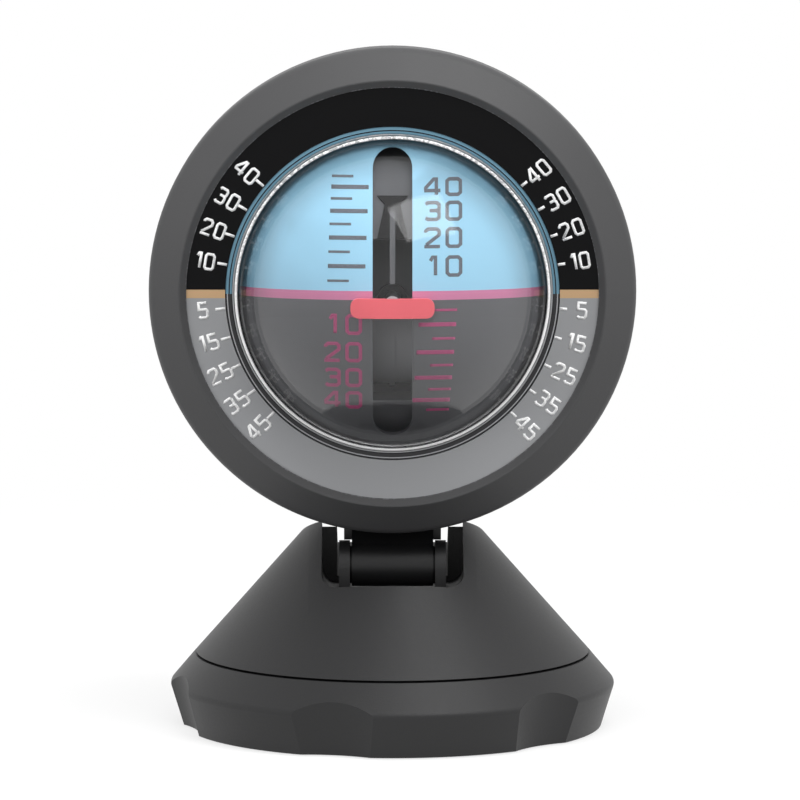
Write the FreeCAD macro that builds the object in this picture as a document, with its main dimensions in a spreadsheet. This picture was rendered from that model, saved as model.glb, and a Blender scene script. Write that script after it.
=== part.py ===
import FreeCAD, Part
import os
import re
import Sketcher

# Dashboard inclinometer, in millimetres, +Z up. The origin is the middle of the pad's underside.
# The dial faces -Y. Head pieces are drawn in the head's own frame: x to the right, y up and
# z forward from the dial's face, so what lies behind the dial has a negative z there.

SIZES = {
    # base ring, plate and pad
    "base_widest_r": 31.2,
    "base_widest_z": 6.2,
    "base_edge_round": 0.9,
    "base_taper": 1.85,
    "base_shoulder": 3.4,
    "seam_z": 10.2,
    "seam_gap": 0.3,
    "ring_lift": 0.2,
    "ring_wall": 5.7,
    "pad_inset": 4.8,
    "pad_wall": 1.2,
    "plate_inset": 4.6,
    "plate_wall": 1.2,
    "plate_gap": 0.15,
    "web_bottom_z": 4.6,
    "web_wall": 2.0,
    "web_screw_inset": 11.2,
    "web_screw_boss_r": 2.6,
    "plate_screw_r": 1.0,
    "plate_screw_head_r": 1.9,
    "plate_screw_head_wall": 0.8,
    "plate_screw_bite": 3.0,
    "scallop_r": 15.7,
    "scallop_depth": 1.7,
    "scallop_foot_depth": 1.2,
    "scallop_turn": -15.5,
    # swivel between ring and pedestal
    "spigot_wall": 1.3,
    "spigot_drop": 1.9,
    "turning_gap": 0.3,
    "post_r": 6.5,
    "journal_r": 4.0,
    "journal_fit": 0.05,
    "journal_play": 0.1,
    "swivel_washer_r": 6.2,
    "swivel_washer_wall": 0.4,
    "swivel_screw_r": 1.9,
    "swivel_head_r": 3.7,
    "swivel_head_wall": 1.2,
    "swivel_screw_bite_share": 0.66,
    # pedestal cone and its pocket
    "cone_wall": 2.0,
    "cone_top_r": 10.8,
    "cone_top_rise": 5.9,
    "cone_top_fall_share": 0.35,
    "cone_top_front": 5.0,
    "pocket_half": 9.8,
    "pocket_wall": 1.8,
    "pocket_round": 2.2,
    "pocket_roof": 2.0,
    "pocket_back": 1.0,
    "sill_drop": 1.5,
    "notch_half": 7.75,
    "notch_rise": 2.4,
    "knuckle_gap": 0.3,
    # hinge of the head
    "pivot_forward": 7.0,
    "pivot_z": 23.5,
    "knuckle_r": 3.0,
    "knuckle_half": 5.65,
    "lug_r": 3.4,
    "lug_wall": 1.5,
    "washer_wall": 0.25,
    "washer_r": 2.6,
    "hinge_pin_r": 1.2,
    "hinge_fit": 0.05,
    "neck_length": 5.0,
    "neck_step": 0.1,
    "neck_set_back": 2.05,
    "neck_reach_back": 9.6,
    "neck_flare": 1.1,
    "neck_flare_lift": 3.2,
    "neck_flare_wall": 3.0,
    # bezel and dial, outwards from the capsule's flange
    "dial_forward": 15.2,
    "dial_reach": 2.9,
    "dial_hole_gap": 0.65,
    "dial_wall": 0.5,
    "dial_gap": 0.1,
    "bezel_reach": 4.6,
    "bezel_rim_back": 3.8,
    "bezel_rim_round": 1.8,
    "bezel_rim_step": 0.63,
    "bezel_cone_back": 2.43,
    "bezel_crest_step": 0.3,
    "bezel_crest_rise": 0.7,
    "bezel_crest_round": 0.25,
    "bezel_lip_step": 0.7,
    "bezel_lip_wall": 0.15,
    "bezel_depth": 10.0,
    "bezel_heel": 0.6,
    "bezel_wall": 2.6,
    "bezel_seat_wall": 2.9,
    # clear dome, seal and rear bowl, outwards from the ball
    "oil_gap": 0.45,
    "dome_wall": 0.85,
    "dome_centre_back": 6.65,
    "dome_collar_step": 0.35,
    "dome_collar_back": 0.05,
    "dome_flange_wall": 1.5,
    "flange_reach": 2.75,
    "seal_wall": 0.8,
    "seal_inset": 0.6,
    "seal_width": 1.8,
    "bowl_flange_wall": 1.6,
    "bowl_wall": 1.5,
    "bowl_boss_r": 3.2,
    "bowl_boss_stand": 2.55,
    "plug_up": 12.0,
    "plug_boss_r": 3.0,
    "plug_boss_stand": 1.5,
    "plug_r": 1.6,
    "plug_head_r": 2.4,
    "plug_head_wall": 0.7,
    "plug_reach": 1.9,
    # ball, gimbal and shaft
    "ball_centre_back": 8.2,
    "ball_r": 21.3,
    "ball_wall": 1.2,
    "ball_rest_pitch": 2.6,
    "ball_slot_half": 2.65,
    "ball_slot_reach_share": 0.911,
    "ball_boss_r": 2.8,
    "ball_boss_depth": 4.1,
    "bush_r": 1.7,
    "bush_depth": 1.8,
    "pin_r": 0.75,
    "pin_fit": 0.05,
    "pin_depth": 2.2,
    "pin_bite": 4.0,
    "arm_r": 2.2,
    "arm_gap": 0.4,
    "drum_depth": 8.3,
    "drum_half": 4.4,
    "rib_rise": 0.45,
    "rib_half": 0.35,
    "shaft_r": 1.0,
    "shaft_fit": 0.05,
    "collar_r": 2.0,
    "collar_wall": 1.4,
    "collar_gap": 0.3,
    "nut_half": 2.0,
    "nut_wall": 1.6,
    "shaft_end": 0.5,
    "ballast_half_wide": 9.0,
    "ballast_half_deep": 4.8,
    "ballast_depth": 6.3,
    "ballast_gap": 0.05,
    "index_gap": 0.3,
    "index_wall": 0.9,
    "index_half_wide": 5.6,
    "index_half_high": 1.32,
    "index_round": 1.1,
    "index_drop": 0.7,
    "index_bite": 0.5,
    # rear housing
    "housing_step": 0.5,
    "housing_straight": 2.0,
    "housing_bulge_r": 34.0,
    "housing_back_gap": 0.1,
    "housing_back_r": 15.0,
    "housing_wall": 1.8,
    "clamp_wall": 1.6,
    "screw_ring_inset": 4.7,
    "screw_r": 0.95,
    "screw_hole_gap": 0.15,
    "screw_head_r": 1.8,
    "screw_head_wall": 1.3,
    "screw_well_r": 2.05,
    "screw_seat_depth": 8.0,
    "screw_boss_r": 3.0,
    "screw_bite": 6.0,
    "pillar_r": 2.1,
    # every cutting tool runs past what it cuts by this much
    "overrun": 5.0,
}

# Counts, which don't scale.
SCALLOP_COUNT = 6
PLATE_SCREW_COUNT = 3
HOUSING_SCREW_COUNT = 4
HOUSING_SCREW_START = 45.0
PLATE_SCREW_START = 30.0

# Places and sizes worked out from the ones above, in the same words.
DERIVED = {
    "base_bottom_r": "base_widest_r - base_taper",
    "seam_r": "base_widest_r - base_shoulder",
    "ring_bore_r": "base_widest_r - ring_wall",
    "spigot_r": "ring_bore_r - turning_gap",
    "spigot_bore_r": "spigot_r - spigot_wall",
    "pad_r": "base_widest_r - pad_inset",
    "plate_r": "base_widest_r - plate_inset",
    "web_screw_ring_r": "base_widest_r - web_screw_inset",
    "web_top_z": "web_bottom_z + web_wall",
    "plate_bottom_z": "pad_wall",
    "plate_top_z": "pad_wall + plate_wall",
    "sill_z": "pivot_z - sill_drop",
    "notch_back_z": "pivot_z + notch_rise",
    "cone_top_z": "pivot_z + cone_top_rise",
    "cone_foot_z": "seam_z + seam_gap",
    "cone_slope": "(seam_r - cone_top_r) / (cone_top_z - seam_z)",
    "cone_apex_z": "seam_z + seam_r / cone_slope",
    "cone_foot_r": "(cone_apex_z - cone_foot_z) * cone_slope",
    "cone_inner_apex_z": "cone_apex_z - cone_wall * sqrt(1 + 1 / (cone_slope * cone_slope))",
    "journal_foot_z": "web_bottom_z - journal_play",
    "pocket_floor_z": "pivot_z - knuckle_r - knuckle_gap",
    "swivel_screw_bite": "swivel_screw_bite_share * (pocket_floor_z - pocket_roof - journal_foot_z)",
    "pocket_front": "pivot_forward + knuckle_r + 4 * knuckle_gap",
    "sill_r": "(cone_apex_z - sill_z) * cone_slope",
    "notch_back_r": "(cone_apex_z - notch_back_z) * cone_slope",
    "notch_flat_back": "knuckle_r + knuckle_gap - pivot_forward",
    "lug_inner": "knuckle_half + washer_wall",
    "lug_outer": "lug_inner + lug_wall",
    "hinge_bore_r": "hinge_pin_r + hinge_fit",
    "neck_front_drop": "neck_length - neck_step",
    "head_height": "pivot_z + neck_length + bezel_r",
    "pivot_down": "neck_length + bezel_r",
    "pivot_back": "dial_forward - pivot_forward",
    "ball_inner_r": "ball_r - ball_wall",
    "ball_forward": "dial_forward - ball_centre_back",
    "ball_boss_reach": "ball_r - ball_boss_depth",
    "ball_slot_reach": "ball_slot_reach_share * ball_r",
    "bush_reach": "ball_r - bush_depth",
    "pin_reach": "ball_r - pin_depth",
    "arm_reach": "ball_boss_reach - arm_gap",
    "drum_r": "ball_r - drum_depth",
    "rib_r": "drum_r + rib_rise",
    "ballast_top": "ball_r - ballast_depth",
    "bowl_inner_r": "ball_r + oil_gap",
    "bowl_r": "bowl_inner_r + bowl_wall",
    "dome_inner_r": "ball_r + oil_gap",
    "dome_r": "dome_inner_r + dome_wall",
    "dome_collar_r": "dome_r - dome_collar_step",
    "flange_r": "bowl_r + flange_reach",
    "seal_r": "flange_r - seal_inset",
    "seal_bore_r": "seal_r - seal_width",
    "dome_flange_back": "dial_wall + dome_flange_wall",
    "seal_back": "dome_flange_back + seal_wall",
    "bowl_flange_back": "seal_back + bowl_flange_wall",
    "bowl_boss_back": "ball_centre_back + bowl_r + bowl_boss_stand",
    "plug_boss_back": "ball_centre_back + sqrt(bowl_r * bowl_r - plug_up * plug_up) + plug_boss_stand",
    "dial_hole_r": "dome_collar_r + dial_hole_gap",
    "dial_r": "flange_r + dial_reach",
    "bezel_lip_r": "dial_r - bezel_lip_step",
    "bezel_crest_r": "dial_r + bezel_crest_step",
    "bezel_r": "dial_r + bezel_reach",
    "bezel_cone_r": "bezel_r - bezel_rim_step",
    "bezel_bore_r": "bezel_r - bezel_wall",
    "housing_r": "bezel_r - housing_step",
    "housing_inner_r": "housing_r - housing_wall",
    "housing_bulge_back": "bezel_depth + housing_straight",
    "shaft_back_end": "bowl_boss_back + nut_wall + shaft_end",
    "housing_back": "shaft_back_end + housing_back_gap + housing_wall",
    "screw_ring_r": "housing_r - screw_ring_inset",
    "screw_seat_back": "bezel_depth + screw_seat_depth",
    "index_inner_r": "ball_r + index_gap",
    "index_outer_r": "index_inner_r + index_wall",
    "shaft_front": "index_inner_r + index_bite",
    "shaft_back": "shaft_back_end - ball_centre_back",
}

doc = FreeCAD.newDocument("Inclinometer")
sheet = doc.addObject("Spreadsheet::Sheet", "Sizes")
pieces = []


def fill_sheet():
    """Writes every driving size into the sheet, under its own name."""
    for row, (name, size) in enumerate(SIZES.items(), start=1):
        sheet.set("A%d" % row, name.replace("_", " "))
        sheet.set("B%d" % row, str(size))
        sheet.setAlias("B%d" % row, name)
    doc.recompute()


def sized(text):
    """Turns a sum in plain words into an expression that reads the sheet."""
    def swap(match):
        word = match.group(0)
        if word in DERIVED:
            return "(%s)" % sized(DERIVED[word])
        return "Sizes." + word if word in SIZES else word
    return re.sub(r"[a-z][a-z_]*", swap, str(text))


def number(text):
    """The present value of a sum in plain words."""
    found = sheet.evalExpression(sized(text))
    return float(getattr(found, "Value", found))


def bind(thing, **sums):
    """Binds properties of an object to sums of the named sizes."""
    for path, text in sums.items():
        thing.setExpression(path, sized(text))
    return thing


def put(thing, x="0", y="0", z="0", axis=None, turn="0"):
    """Places an object, with its place and its turn bound to the sheet."""
    direction = FreeCAD.Vector(*(axis or (0, 0, 1)))
    rotation = FreeCAD.Rotation(direction, number(turn))
    spot = FreeCAD.Vector(number(x), number(y), number(z))
    thing.Placement = FreeCAD.Placement(spot, rotation)
    thing.setExpression("Placement.Base.x", sized(x))
    thing.setExpression("Placement.Base.y", sized(y))
    thing.setExpression("Placement.Base.z", sized(z))
    return thing


def in_head(thing):
    """Turns and moves a piece drawn in the head's frame to its place."""
    return put(thing, "0", "-dial_forward", "head_height", (1, 0, 0), "90")


def piece(thing, label):
    """Keeps an object as one of the finished pieces, under its own name."""
    thing.Label = label
    pieces.append(thing)
    return thing


def cylinder(name, radius, height, x="0", y="0", z="0", axis=None, turn="0"):
    made = doc.addObject("Part::Cylinder", name)
    bind(made, Radius=radius, Height=height)
    return put(made, x, y, z, axis, turn)


def across(name, radius, half, x="0", y="0", z="0"):
    """A cylinder along X, with its middle at the point given."""
    start = "(%s) - (%s)" % (x, half)
    return cylinder(name, radius, "2 * (%s)" % half, start, y, z, (0, 1, 0), "90")


def block(name, wide, deep, high, x, y, z):
    made = doc.addObject("Part::Box", name)
    bind(made, Length=wide, Width=deep, Height=high)
    return put(made, x, y, z)


def ball(name, radius, x="0", y="0", z="0"):
    made = doc.addObject("Part::Sphere", name)
    bind(made, Radius=radius)
    return put(made, x, y, z)


def cut(name, base, *tools):
    made = doc.addObject("Part::Cut", name)
    made.Base = base
    made.Tool = tools[0] if len(tools) == 1 else fuse(name + "Tools", *tools)
    return made


def fuse(name, *parts):
    made = doc.addObject("Part::MultiFuse", name)
    made.Shapes = list(parts)
    made.Refine = True
    return made


def common(name, *parts):
    made = doc.addObject("Part::MultiCommon", name)
    made.Shapes = list(parts)
    return made


def copies(name, source, count, start="0"):
    """Copies of one object, turned evenly about Z."""
    made = []
    for place in range(count):
        copy = doc.addObject("Part::Compound", "%s%d" % (name, place + 1))
        copy.Links = [source]
        put(copy, axis=(0, 0, 1), turn="%s + %d * 360 / %d" % (start, place, count))
        made.append(copy)
    return made


def group(name, *parts):
    made = doc.addObject("Part::Compound", name)
    made.Links = list(parts)
    return made


def new_body(name):
    return doc.addObject("PartDesign::Body", name)


def body_plane(body, role):
    return [part for part in body.Origin.OriginFeatures if part.Role == role][0]


def pin_point(sketch, line, end, x, y):
    """Holds one sketch point at two sums of the named sizes."""
    for kind, text, axis in (("DistanceX", x, -2), ("DistanceY", y, -1)):
        if text == "0":
            sketch.addConstraint(Sketcher.Constraint("PointOnObject", line, end, axis))
            continue
        held = sketch.addConstraint(Sketcher.Constraint(kind, line, end, number(text)))
        sketch.setExpression("Constraints[%d]" % held, sized(text))


def arc_through(first, last, radius):
    """The shorter arc of a given radius from one point to another, turning left on its way."""
    chord = last - first
    inward = FreeCAD.Vector(-chord.y, chord.x, 0).normalize()
    half = chord.Length / 2
    centre = (first + last) * 0.5 + inward * (radius * radius - half * half) ** 0.5
    circle = Part.Circle(centre, FreeCAD.Vector(0, 0, 1), radius)
    return Part.ArcOfCircle(circle, circle.parameter(first), circle.parameter(last))


def outline(body, name, points, role="XZ_Plane"):
    """A closed sketch through points. A third entry makes the edge that follows an arc, by its radius
    and the side it turns to."""
    sketch = body.newObject("Sketcher::SketchObject", name)
    sketch.AttachmentSupport = [(body_plane(body, role), "")]
    sketch.MapMode = "FlatFace"
    spots = [FreeCAD.Vector(number(point[0]), number(point[1]), 0) for point in points]
    ends = []
    for index, point in enumerate(points):
        first = spots[index]
        last = spots[(index + 1) % len(spots)]
        if len(point) == 2:
            edge = sketch.addGeometry(Part.LineSegment(first, last), False)
            ends.append((edge, 1, 2))
            continue
        radius, turns = point[2]
        left = turns == "left"
        arc = arc_through(first, last, number(radius)) if left else arc_through(last, first, number(radius))
        edge = sketch.addGeometry(arc, False)
        held = sketch.addConstraint(Sketcher.Constraint("Radius", edge, number(radius)))
        sketch.setExpression("Constraints[%d]" % held, sized(radius))
        ends.append((edge, 1, 2) if left else (edge, 2, 1))
    for index, point in enumerate(points):
        edge, start, _ = ends[index]
        before, _, end = ends[index - 1]
        sketch.addConstraint(Sketcher.Constraint("Coincident", before, end, edge, start))
        pin_point(sketch, edge, start, point[0], point[1])
    return sketch


def turned(name, points):
    """A body turned about its own Z from an outline of radius and height."""
    body = new_body(name)
    sketch = outline(body, name + "Outline", points)
    spun = body.newObject("PartDesign::Revolution", name + "Turned")
    spun.Profile = sketch
    spun.ReferenceAxis = (sketch, ["V_Axis"])
    spun.Angle = 360
    doc.recompute()
    return body


def prism(name, points, half, role="YZ_Plane"):
    """A body of constant section, as deep each side of its sketch as half says."""
    body = new_body(name)
    sketch = outline(body, name + "Outline", points, role)
    pad = body.newObject("PartDesign::Pad", name + "Pad")
    pad.Profile = sketch
    pad.Midplane = True
    bind(pad, Length="2 * (%s)" % half)
    doc.recompute()
    return body


def rounded(name, base, radius, chosen):
    """Rounds the edges of an object that a test picks."""
    doc.recompute()
    made = doc.addObject("Part::Fillet", name)
    made.Base = base
    size = number(radius)
    made.Edges = [(index, size, size) for index, edge in enumerate(base.Shape.Edges, start=1) if chosen(edge)]
    return made


def circle_edge(radius, height):
    """A test for a round edge of one radius at one height."""
    wide = number(radius)
    high = number(height)
    close = number("turning_gap") / 10

    def chosen(edge):
        round_edge = edge.Curve.TypeId == "Part::GeomCircle"
        return round_edge and abs(edge.Curve.Radius - wide) < close and abs(edge.Curve.Center.z - high) < close
    return chosen


# Base ring, with the web that carries the swivel

def scallop_tool():
    """A leaning cylinder that bites a little deeper at the ring's widest edge than at its foot."""
    foot = "(base_bottom_r - scallop_foot_depth)"
    lean = "atan((base_widest_r - scallop_depth - %s) / (base_widest_z - ring_lift))" % foot
    middle = "%s + scallop_r / cos(%s) - overrun * tan(%s)" % (foot, lean, lean)
    return cylinder("ScallopTool", "scallop_r", "seam_z + 3 * overrun",
                    "0", "-(%s)" % middle, "ring_lift - overrun", (1, 0, 0), lean)


def base_ring():
    ring = turned("RingTurned", [
        ("base_bottom_r", "ring_lift"),
        ("base_widest_r", "base_widest_z"),
        ("seam_r", "seam_z"),
        ("ring_bore_r", "seam_z"),
        ("ring_bore_r", "web_top_z"),
        ("journal_r + journal_fit", "web_top_z"),
        ("journal_r + journal_fit", "web_bottom_z"),
        ("ring_bore_r", "web_bottom_z"),
        ("ring_bore_r", "plate_top_z"),
        ("plate_r + plate_gap", "plate_top_z"),
        ("plate_r + plate_gap", "ring_lift"),
    ])
    boss = cylinder("PlateScrewBoss", "web_screw_boss_r", "web_bottom_z - plate_top_z",
                    "0", "-web_screw_ring_r", "plate_top_z")
    bosses = copies("PlateScrewBoss", boss, PLATE_SCREW_COUNT, PLATE_SCREW_START)
    hole = cylinder("PlateScrewHole", "plate_screw_r", "plate_screw_bite",
                    "0", "-web_screw_ring_r", "plate_top_z")
    holes = copies("PlateScrewHole", hole, PLATE_SCREW_COUNT, PLATE_SCREW_START)
    scallops = copies("Scallop", scallop_tool(), SCALLOP_COUNT, "scallop_turn")
    round_edge = circle_edge("base_widest_r", "base_widest_z")
    softened = rounded("RingSoftened", ring, "base_edge_round", round_edge)
    whole = fuse("RingWithBosses", softened, *bosses)
    return piece(cut("RingCut", whole, *scallops, *holes), "base_ring")


def base_plate():
    disc = cylinder("PlateDisc", "plate_r", "plate_wall", z="plate_bottom_z")
    hole = cylinder("PlateHole", "plate_screw_r + screw_hole_gap", "plate_wall + 2 * overrun",
                    "0", "-web_screw_ring_r", "plate_bottom_z - overrun")
    sink = cylinder("PlateSink", "plate_screw_head_r + screw_hole_gap", "plate_screw_head_wall + overrun",
                    "0", "-web_screw_ring_r", "plate_bottom_z - overrun")
    holes = copies("PlateHole", fuse("PlateHoleTool", hole, sink), PLATE_SCREW_COUNT, PLATE_SCREW_START)
    return piece(cut("BasePlate", disc, *holes), "base_plate")


def plate_screws():
    head = cylinder("PlateScrewHead", "plate_screw_head_r", "plate_screw_head_wall",
                    "0", "-web_screw_ring_r", "plate_bottom_z")
    shank = cylinder("PlateScrewShank", "plate_screw_r", "plate_wall + plate_screw_bite - screw_hole_gap",
                     "0", "-web_screw_ring_r", "plate_bottom_z")
    screw = fuse("PlateScrew", head, shank)
    return piece(group("PlateScrews", *copies("PlateScrew", screw, PLATE_SCREW_COUNT, PLATE_SCREW_START)),
                 "base_plate_screws")


def adhesive_pad():
    return piece(cylinder("AdhesivePad", "pad_r", "pad_wall"), "adhesive_pad")


# Swivel

def swivel_screw():
    screw = turned("SwivelScrew", [
        ("0", "journal_foot_z - swivel_washer_wall - swivel_head_wall"),
        ("swivel_head_r", "journal_foot_z - swivel_washer_wall - swivel_head_wall"),
        ("swivel_head_r", "journal_foot_z - swivel_washer_wall"),
        ("swivel_screw_r", "journal_foot_z - swivel_washer_wall"),
        ("swivel_screw_r", "journal_foot_z + swivel_screw_bite"),
        ("0", "journal_foot_z + swivel_screw_bite"),
    ])
    return piece(screw, "swivel_screw")


def swivel_washer():
    washer = turned("SwivelWasher", [
        ("swivel_screw_r + screw_hole_gap", "journal_foot_z - swivel_washer_wall"),
        ("swivel_washer_r", "journal_foot_z - swivel_washer_wall"),
        ("swivel_washer_r", "journal_foot_z"),
        ("swivel_screw_r + screw_hole_gap", "journal_foot_z"),
    ])
    return piece(washer, "swivel_washer")


# Pedestal cone

def cone_shell():
    """The cone's wall, its spigot and the post that carries it, before the pocket is cut."""
    solid = turned("ConeSolid", [
        ("0", "cone_foot_z"),
        ("cone_foot_r", "cone_foot_z"),
        ("cone_top_r", "cone_top_z"),
        ("0", "cone_top_z"),
    ])
    hollow = turned("ConeHollow", [
        ("0", "cone_foot_z - overrun"),
        ("spigot_bore_r", "cone_foot_z - overrun"),
        ("spigot_bore_r", "cone_inner_apex_z - spigot_bore_r / cone_slope"),
        ("cone_wall", "cone_inner_apex_z - cone_wall / cone_slope"),
        ("0", "cone_inner_apex_z - cone_wall / cone_slope"),
    ])
    spigot = turned("Spigot", [
        ("spigot_bore_r", "cone_foot_z - spigot_drop"),
        ("spigot_r", "cone_foot_z - spigot_drop"),
        ("spigot_r", "cone_foot_z + spigot_wall"),
        ("spigot_bore_r", "cone_foot_z + spigot_wall"),
    ])
    wide = "pocket_half + pocket_wall"
    core = block("PocketCore", "2 * (%s)" % wide, "2 * cone_foot_r", "cone_top_z - pocket_floor_z + pocket_roof",
                 "-(%s)" % wide, "-cone_foot_r", "pocket_floor_z - pocket_roof")
    core_in_cone = common("PocketCoreInCone", core, solid)
    post = turned("Post", [
        ("0", "journal_foot_z"),
        ("journal_r", "journal_foot_z"),
        ("journal_r", "web_top_z"),
        ("post_r", "web_top_z"),
        ("post_r", "pocket_floor_z - pocket_roof"),
        ("0", "pocket_floor_z - pocket_roof"),
    ])
    wall = cut("ConeWall", solid, hollow)
    return fuse("ConeWhole", wall, spigot, core_in_cone, post)


def pocket_tool():
    """The pocket that opens forward and upward, where the knuckle and the lugs stand."""
    front_rise = "(sill_z - pocket_floor_z) / (sill_r - pocket_front)"
    points = [
        ("-base_widest_r", "cone_apex_z"),
        ("-base_widest_r", "sill_z + (base_widest_r - sill_r) * %s" % front_rise),
        ("-pocket_front", "pocket_floor_z"),
        ("-pocket_back", "pocket_floor_z"),
        ("-pocket_back", "cone_apex_z"),
    ]
    slot = prism("PocketSlot", points, "pocket_half")
    half = number("pocket_half")
    high = number("cone_apex_z")
    close = number("turning_gap") / 10

    def lower_side(edge):
        box = edge.BoundBox
        at_side = abs(abs(box.XMin) - half) < close and box.XLength < close
        return at_side and box.YLength > close and box.ZMax < high - close
    return rounded("PocketRounded", slot, "pocket_round", lower_side)


def notch_tool():
    """The narrower notch that lets the neck swing back, out through the rear of the cone."""
    back_rise = "(notch_back_z - pocket_floor_z) / (notch_back_r - notch_flat_back)"
    points = [
        ("-pivot_forward", "pocket_floor_z"),
        ("notch_flat_back", "pocket_floor_z"),
        ("base_widest_r", "notch_back_z + (base_widest_r - notch_back_r) * %s" % back_rise),
        ("base_widest_r", "cone_apex_z"),
        ("-pivot_forward", "cone_apex_z"),
    ]
    return prism("Notch", points, "notch_half")


def top_tool():
    """Takes the cone's top off on a slope that falls to the back, for the head to swing over."""
    points = [
        ("-cone_top_front", "cone_top_z"),
        ("base_widest_r", "cone_top_z - (base_widest_r + cone_top_front) * cone_top_fall_share"),
        ("base_widest_r", "cone_apex_z"),
        ("-cone_top_front", "cone_apex_z"),
    ]
    return prism("TopTool", points, "base_widest_r")


def lugs():
    """Two upright plates with round tops about the hinge axis."""
    made = []
    for name, x in (("LugRight", "lug_inner"), ("LugLeft", "-lug_outer")):
        foot = block(name + "Foot", "lug_wall", "2 * lug_r", "pivot_z - pocket_floor_z + pocket_roof / 2",
                     x, "-pivot_forward - lug_r", "pocket_floor_z - pocket_roof / 2")
        top = cylinder(name + "Top", "lug_r", "lug_wall", x, "-pivot_forward", "pivot_z", (0, 1, 0), "90")
        made += [foot, top]
    return made


def pedestal():
    open_cone = cut("ConeOpened", cone_shell(), pocket_tool(), notch_tool(), top_tool())
    with_lugs = fuse("ConeWithLugs", open_cone, *lugs())
    pin_hole = across("LugHole", "hinge_pin_r", "lug_outer + hinge_fit", y="-pivot_forward", z="pivot_z")
    screw_hole = cylinder("SwivelScrewHole", "swivel_screw_r", "swivel_screw_bite + screw_hole_gap",
                          z="journal_foot_z")
    return piece(cut("Pedestal", with_lugs, pin_hole, screw_hole), "pedestal")


# Hinge

def hinge_pin():
    pin = across("HingePin", "hinge_pin_r", "lug_outer", y="-pivot_forward", z="pivot_z")
    return piece(pin, "hinge_pin")


def hexagon(name, half, wall):
    """A hexagonal prism along Z, its flats the given half from the axis."""
    made = doc.addObject("Part::Prism", name)
    made.Polygon = 6
    bind(made, Circumradius="(%s) / cos(30)" % half, Height=wall)
    return made


def friction_washers():
    rings = []
    for name, x in (("WasherRight", "knuckle_half"), ("WasherLeft", "-lug_inner")):
        disc = cylinder(name + "Disc", "washer_r", "washer_wall", x, "-pivot_forward", "pivot_z",
                        (0, 1, 0), "90")
        bore = cylinder(name + "Bore", "hinge_bore_r", "washer_wall", x, "-pivot_forward", "pivot_z",
                        (0, 1, 0), "90")
        rings.append(cut(name, disc, bore))
    return piece(group("FrictionWashers", *rings), "friction_washers")


# Bezel and dial

def bezel():
    ring = turned("BezelTurned", [
        ("bezel_lip_r", "0"),
        ("dial_r + dial_gap", "0"),
        ("dial_r + dial_gap", "-bezel_seat_wall"),
        ("bezel_bore_r", "-bezel_seat_wall"),
        ("bezel_bore_r", "-bezel_depth"),
        ("bezel_r - bezel_heel", "-bezel_depth"),
        ("bezel_r", "-bezel_depth + bezel_heel"),
        ("bezel_r", "-bezel_rim_back", ("bezel_rim_round", "left")),
        ("bezel_cone_r", "-bezel_cone_back"),
        ("bezel_crest_r", "bezel_crest_rise"),
        ("bezel_lip_r", "bezel_lip_wall"),
    ])
    crest = circle_edge("bezel_crest_r", "bezel_crest_rise")
    softened = rounded("BezelSoftened", ring, "bezel_crest_round", crest)
    pillar = cylinder("Pillar", "pillar_r", "bezel_depth - bezel_seat_wall + dial_wall",
                      "screw_ring_r", "0", "-bezel_depth")
    web = block("PillarWeb", "bezel_bore_r - screw_ring_r + dial_wall", "2 * screw_r",
                "bezel_depth - bezel_seat_wall + dial_wall", "screw_ring_r", "-screw_r", "-bezel_depth")
    pillars = copies("Pillar", fuse("PillarWithWeb", pillar, web), HOUSING_SCREW_COUNT, HOUSING_SCREW_START)
    hole = cylinder("PillarHole", "screw_r", "screw_bite + screw_hole_gap", "screw_ring_r", "0", "-bezel_depth")
    holes = copies("PillarHole", hole, HOUSING_SCREW_COUNT, HOUSING_SCREW_START)
    made = cut("Bezel", fuse("BezelWithPillars", softened, *pillars), *holes)
    return piece(in_head(made), "bezel")


def dial_ring():
    ring = turned("DialRing", [
        ("dial_hole_r", "-dial_wall"),
        ("dial_r", "-dial_wall"),
        ("dial_r", "0"),
        ("dial_hole_r", "0"),
    ])
    return piece(in_head(ring), "dial_ring")


# Sealed capsule

def sphere_reach(radius, centre_back, back):
    """How far out a sphere on the axis reaches at a given distance behind the dial."""
    return "sqrt({0} * {0} - ({1} - {2}) * ({1} - {2}))".format(radius, centre_back, back)


def front_dome():
    outer_foot = sphere_reach("dome_r", "dome_centre_back", "dome_collar_back")
    inner_foot = sphere_reach("dome_inner_r", "dome_centre_back", "dome_flange_back")
    dome = turned("FrontDome", [
        (inner_foot, "-dome_flange_back"),
        ("flange_r", "-dome_flange_back"),
        ("flange_r", "-dial_wall"),
        ("dome_collar_r", "-dial_wall"),
        ("dome_collar_r", "-dome_collar_back"),
        (outer_foot, "-dome_collar_back", ("dome_r", "left")),
        ("0", "dome_r - dome_centre_back"),
        ("0", "dome_inner_r - dome_centre_back", ("dome_inner_r", "right")),
    ])
    return piece(in_head(dome), "front_dome")


def capsule_seal():
    seal = turned("CapsuleSeal", [
        ("seal_bore_r", "-seal_back"),
        ("seal_r", "-seal_back"),
        ("seal_r", "-dome_flange_back"),
        ("seal_bore_r", "-dome_flange_back"),
    ])
    return piece(in_head(seal), "capsule_seal")


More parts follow.
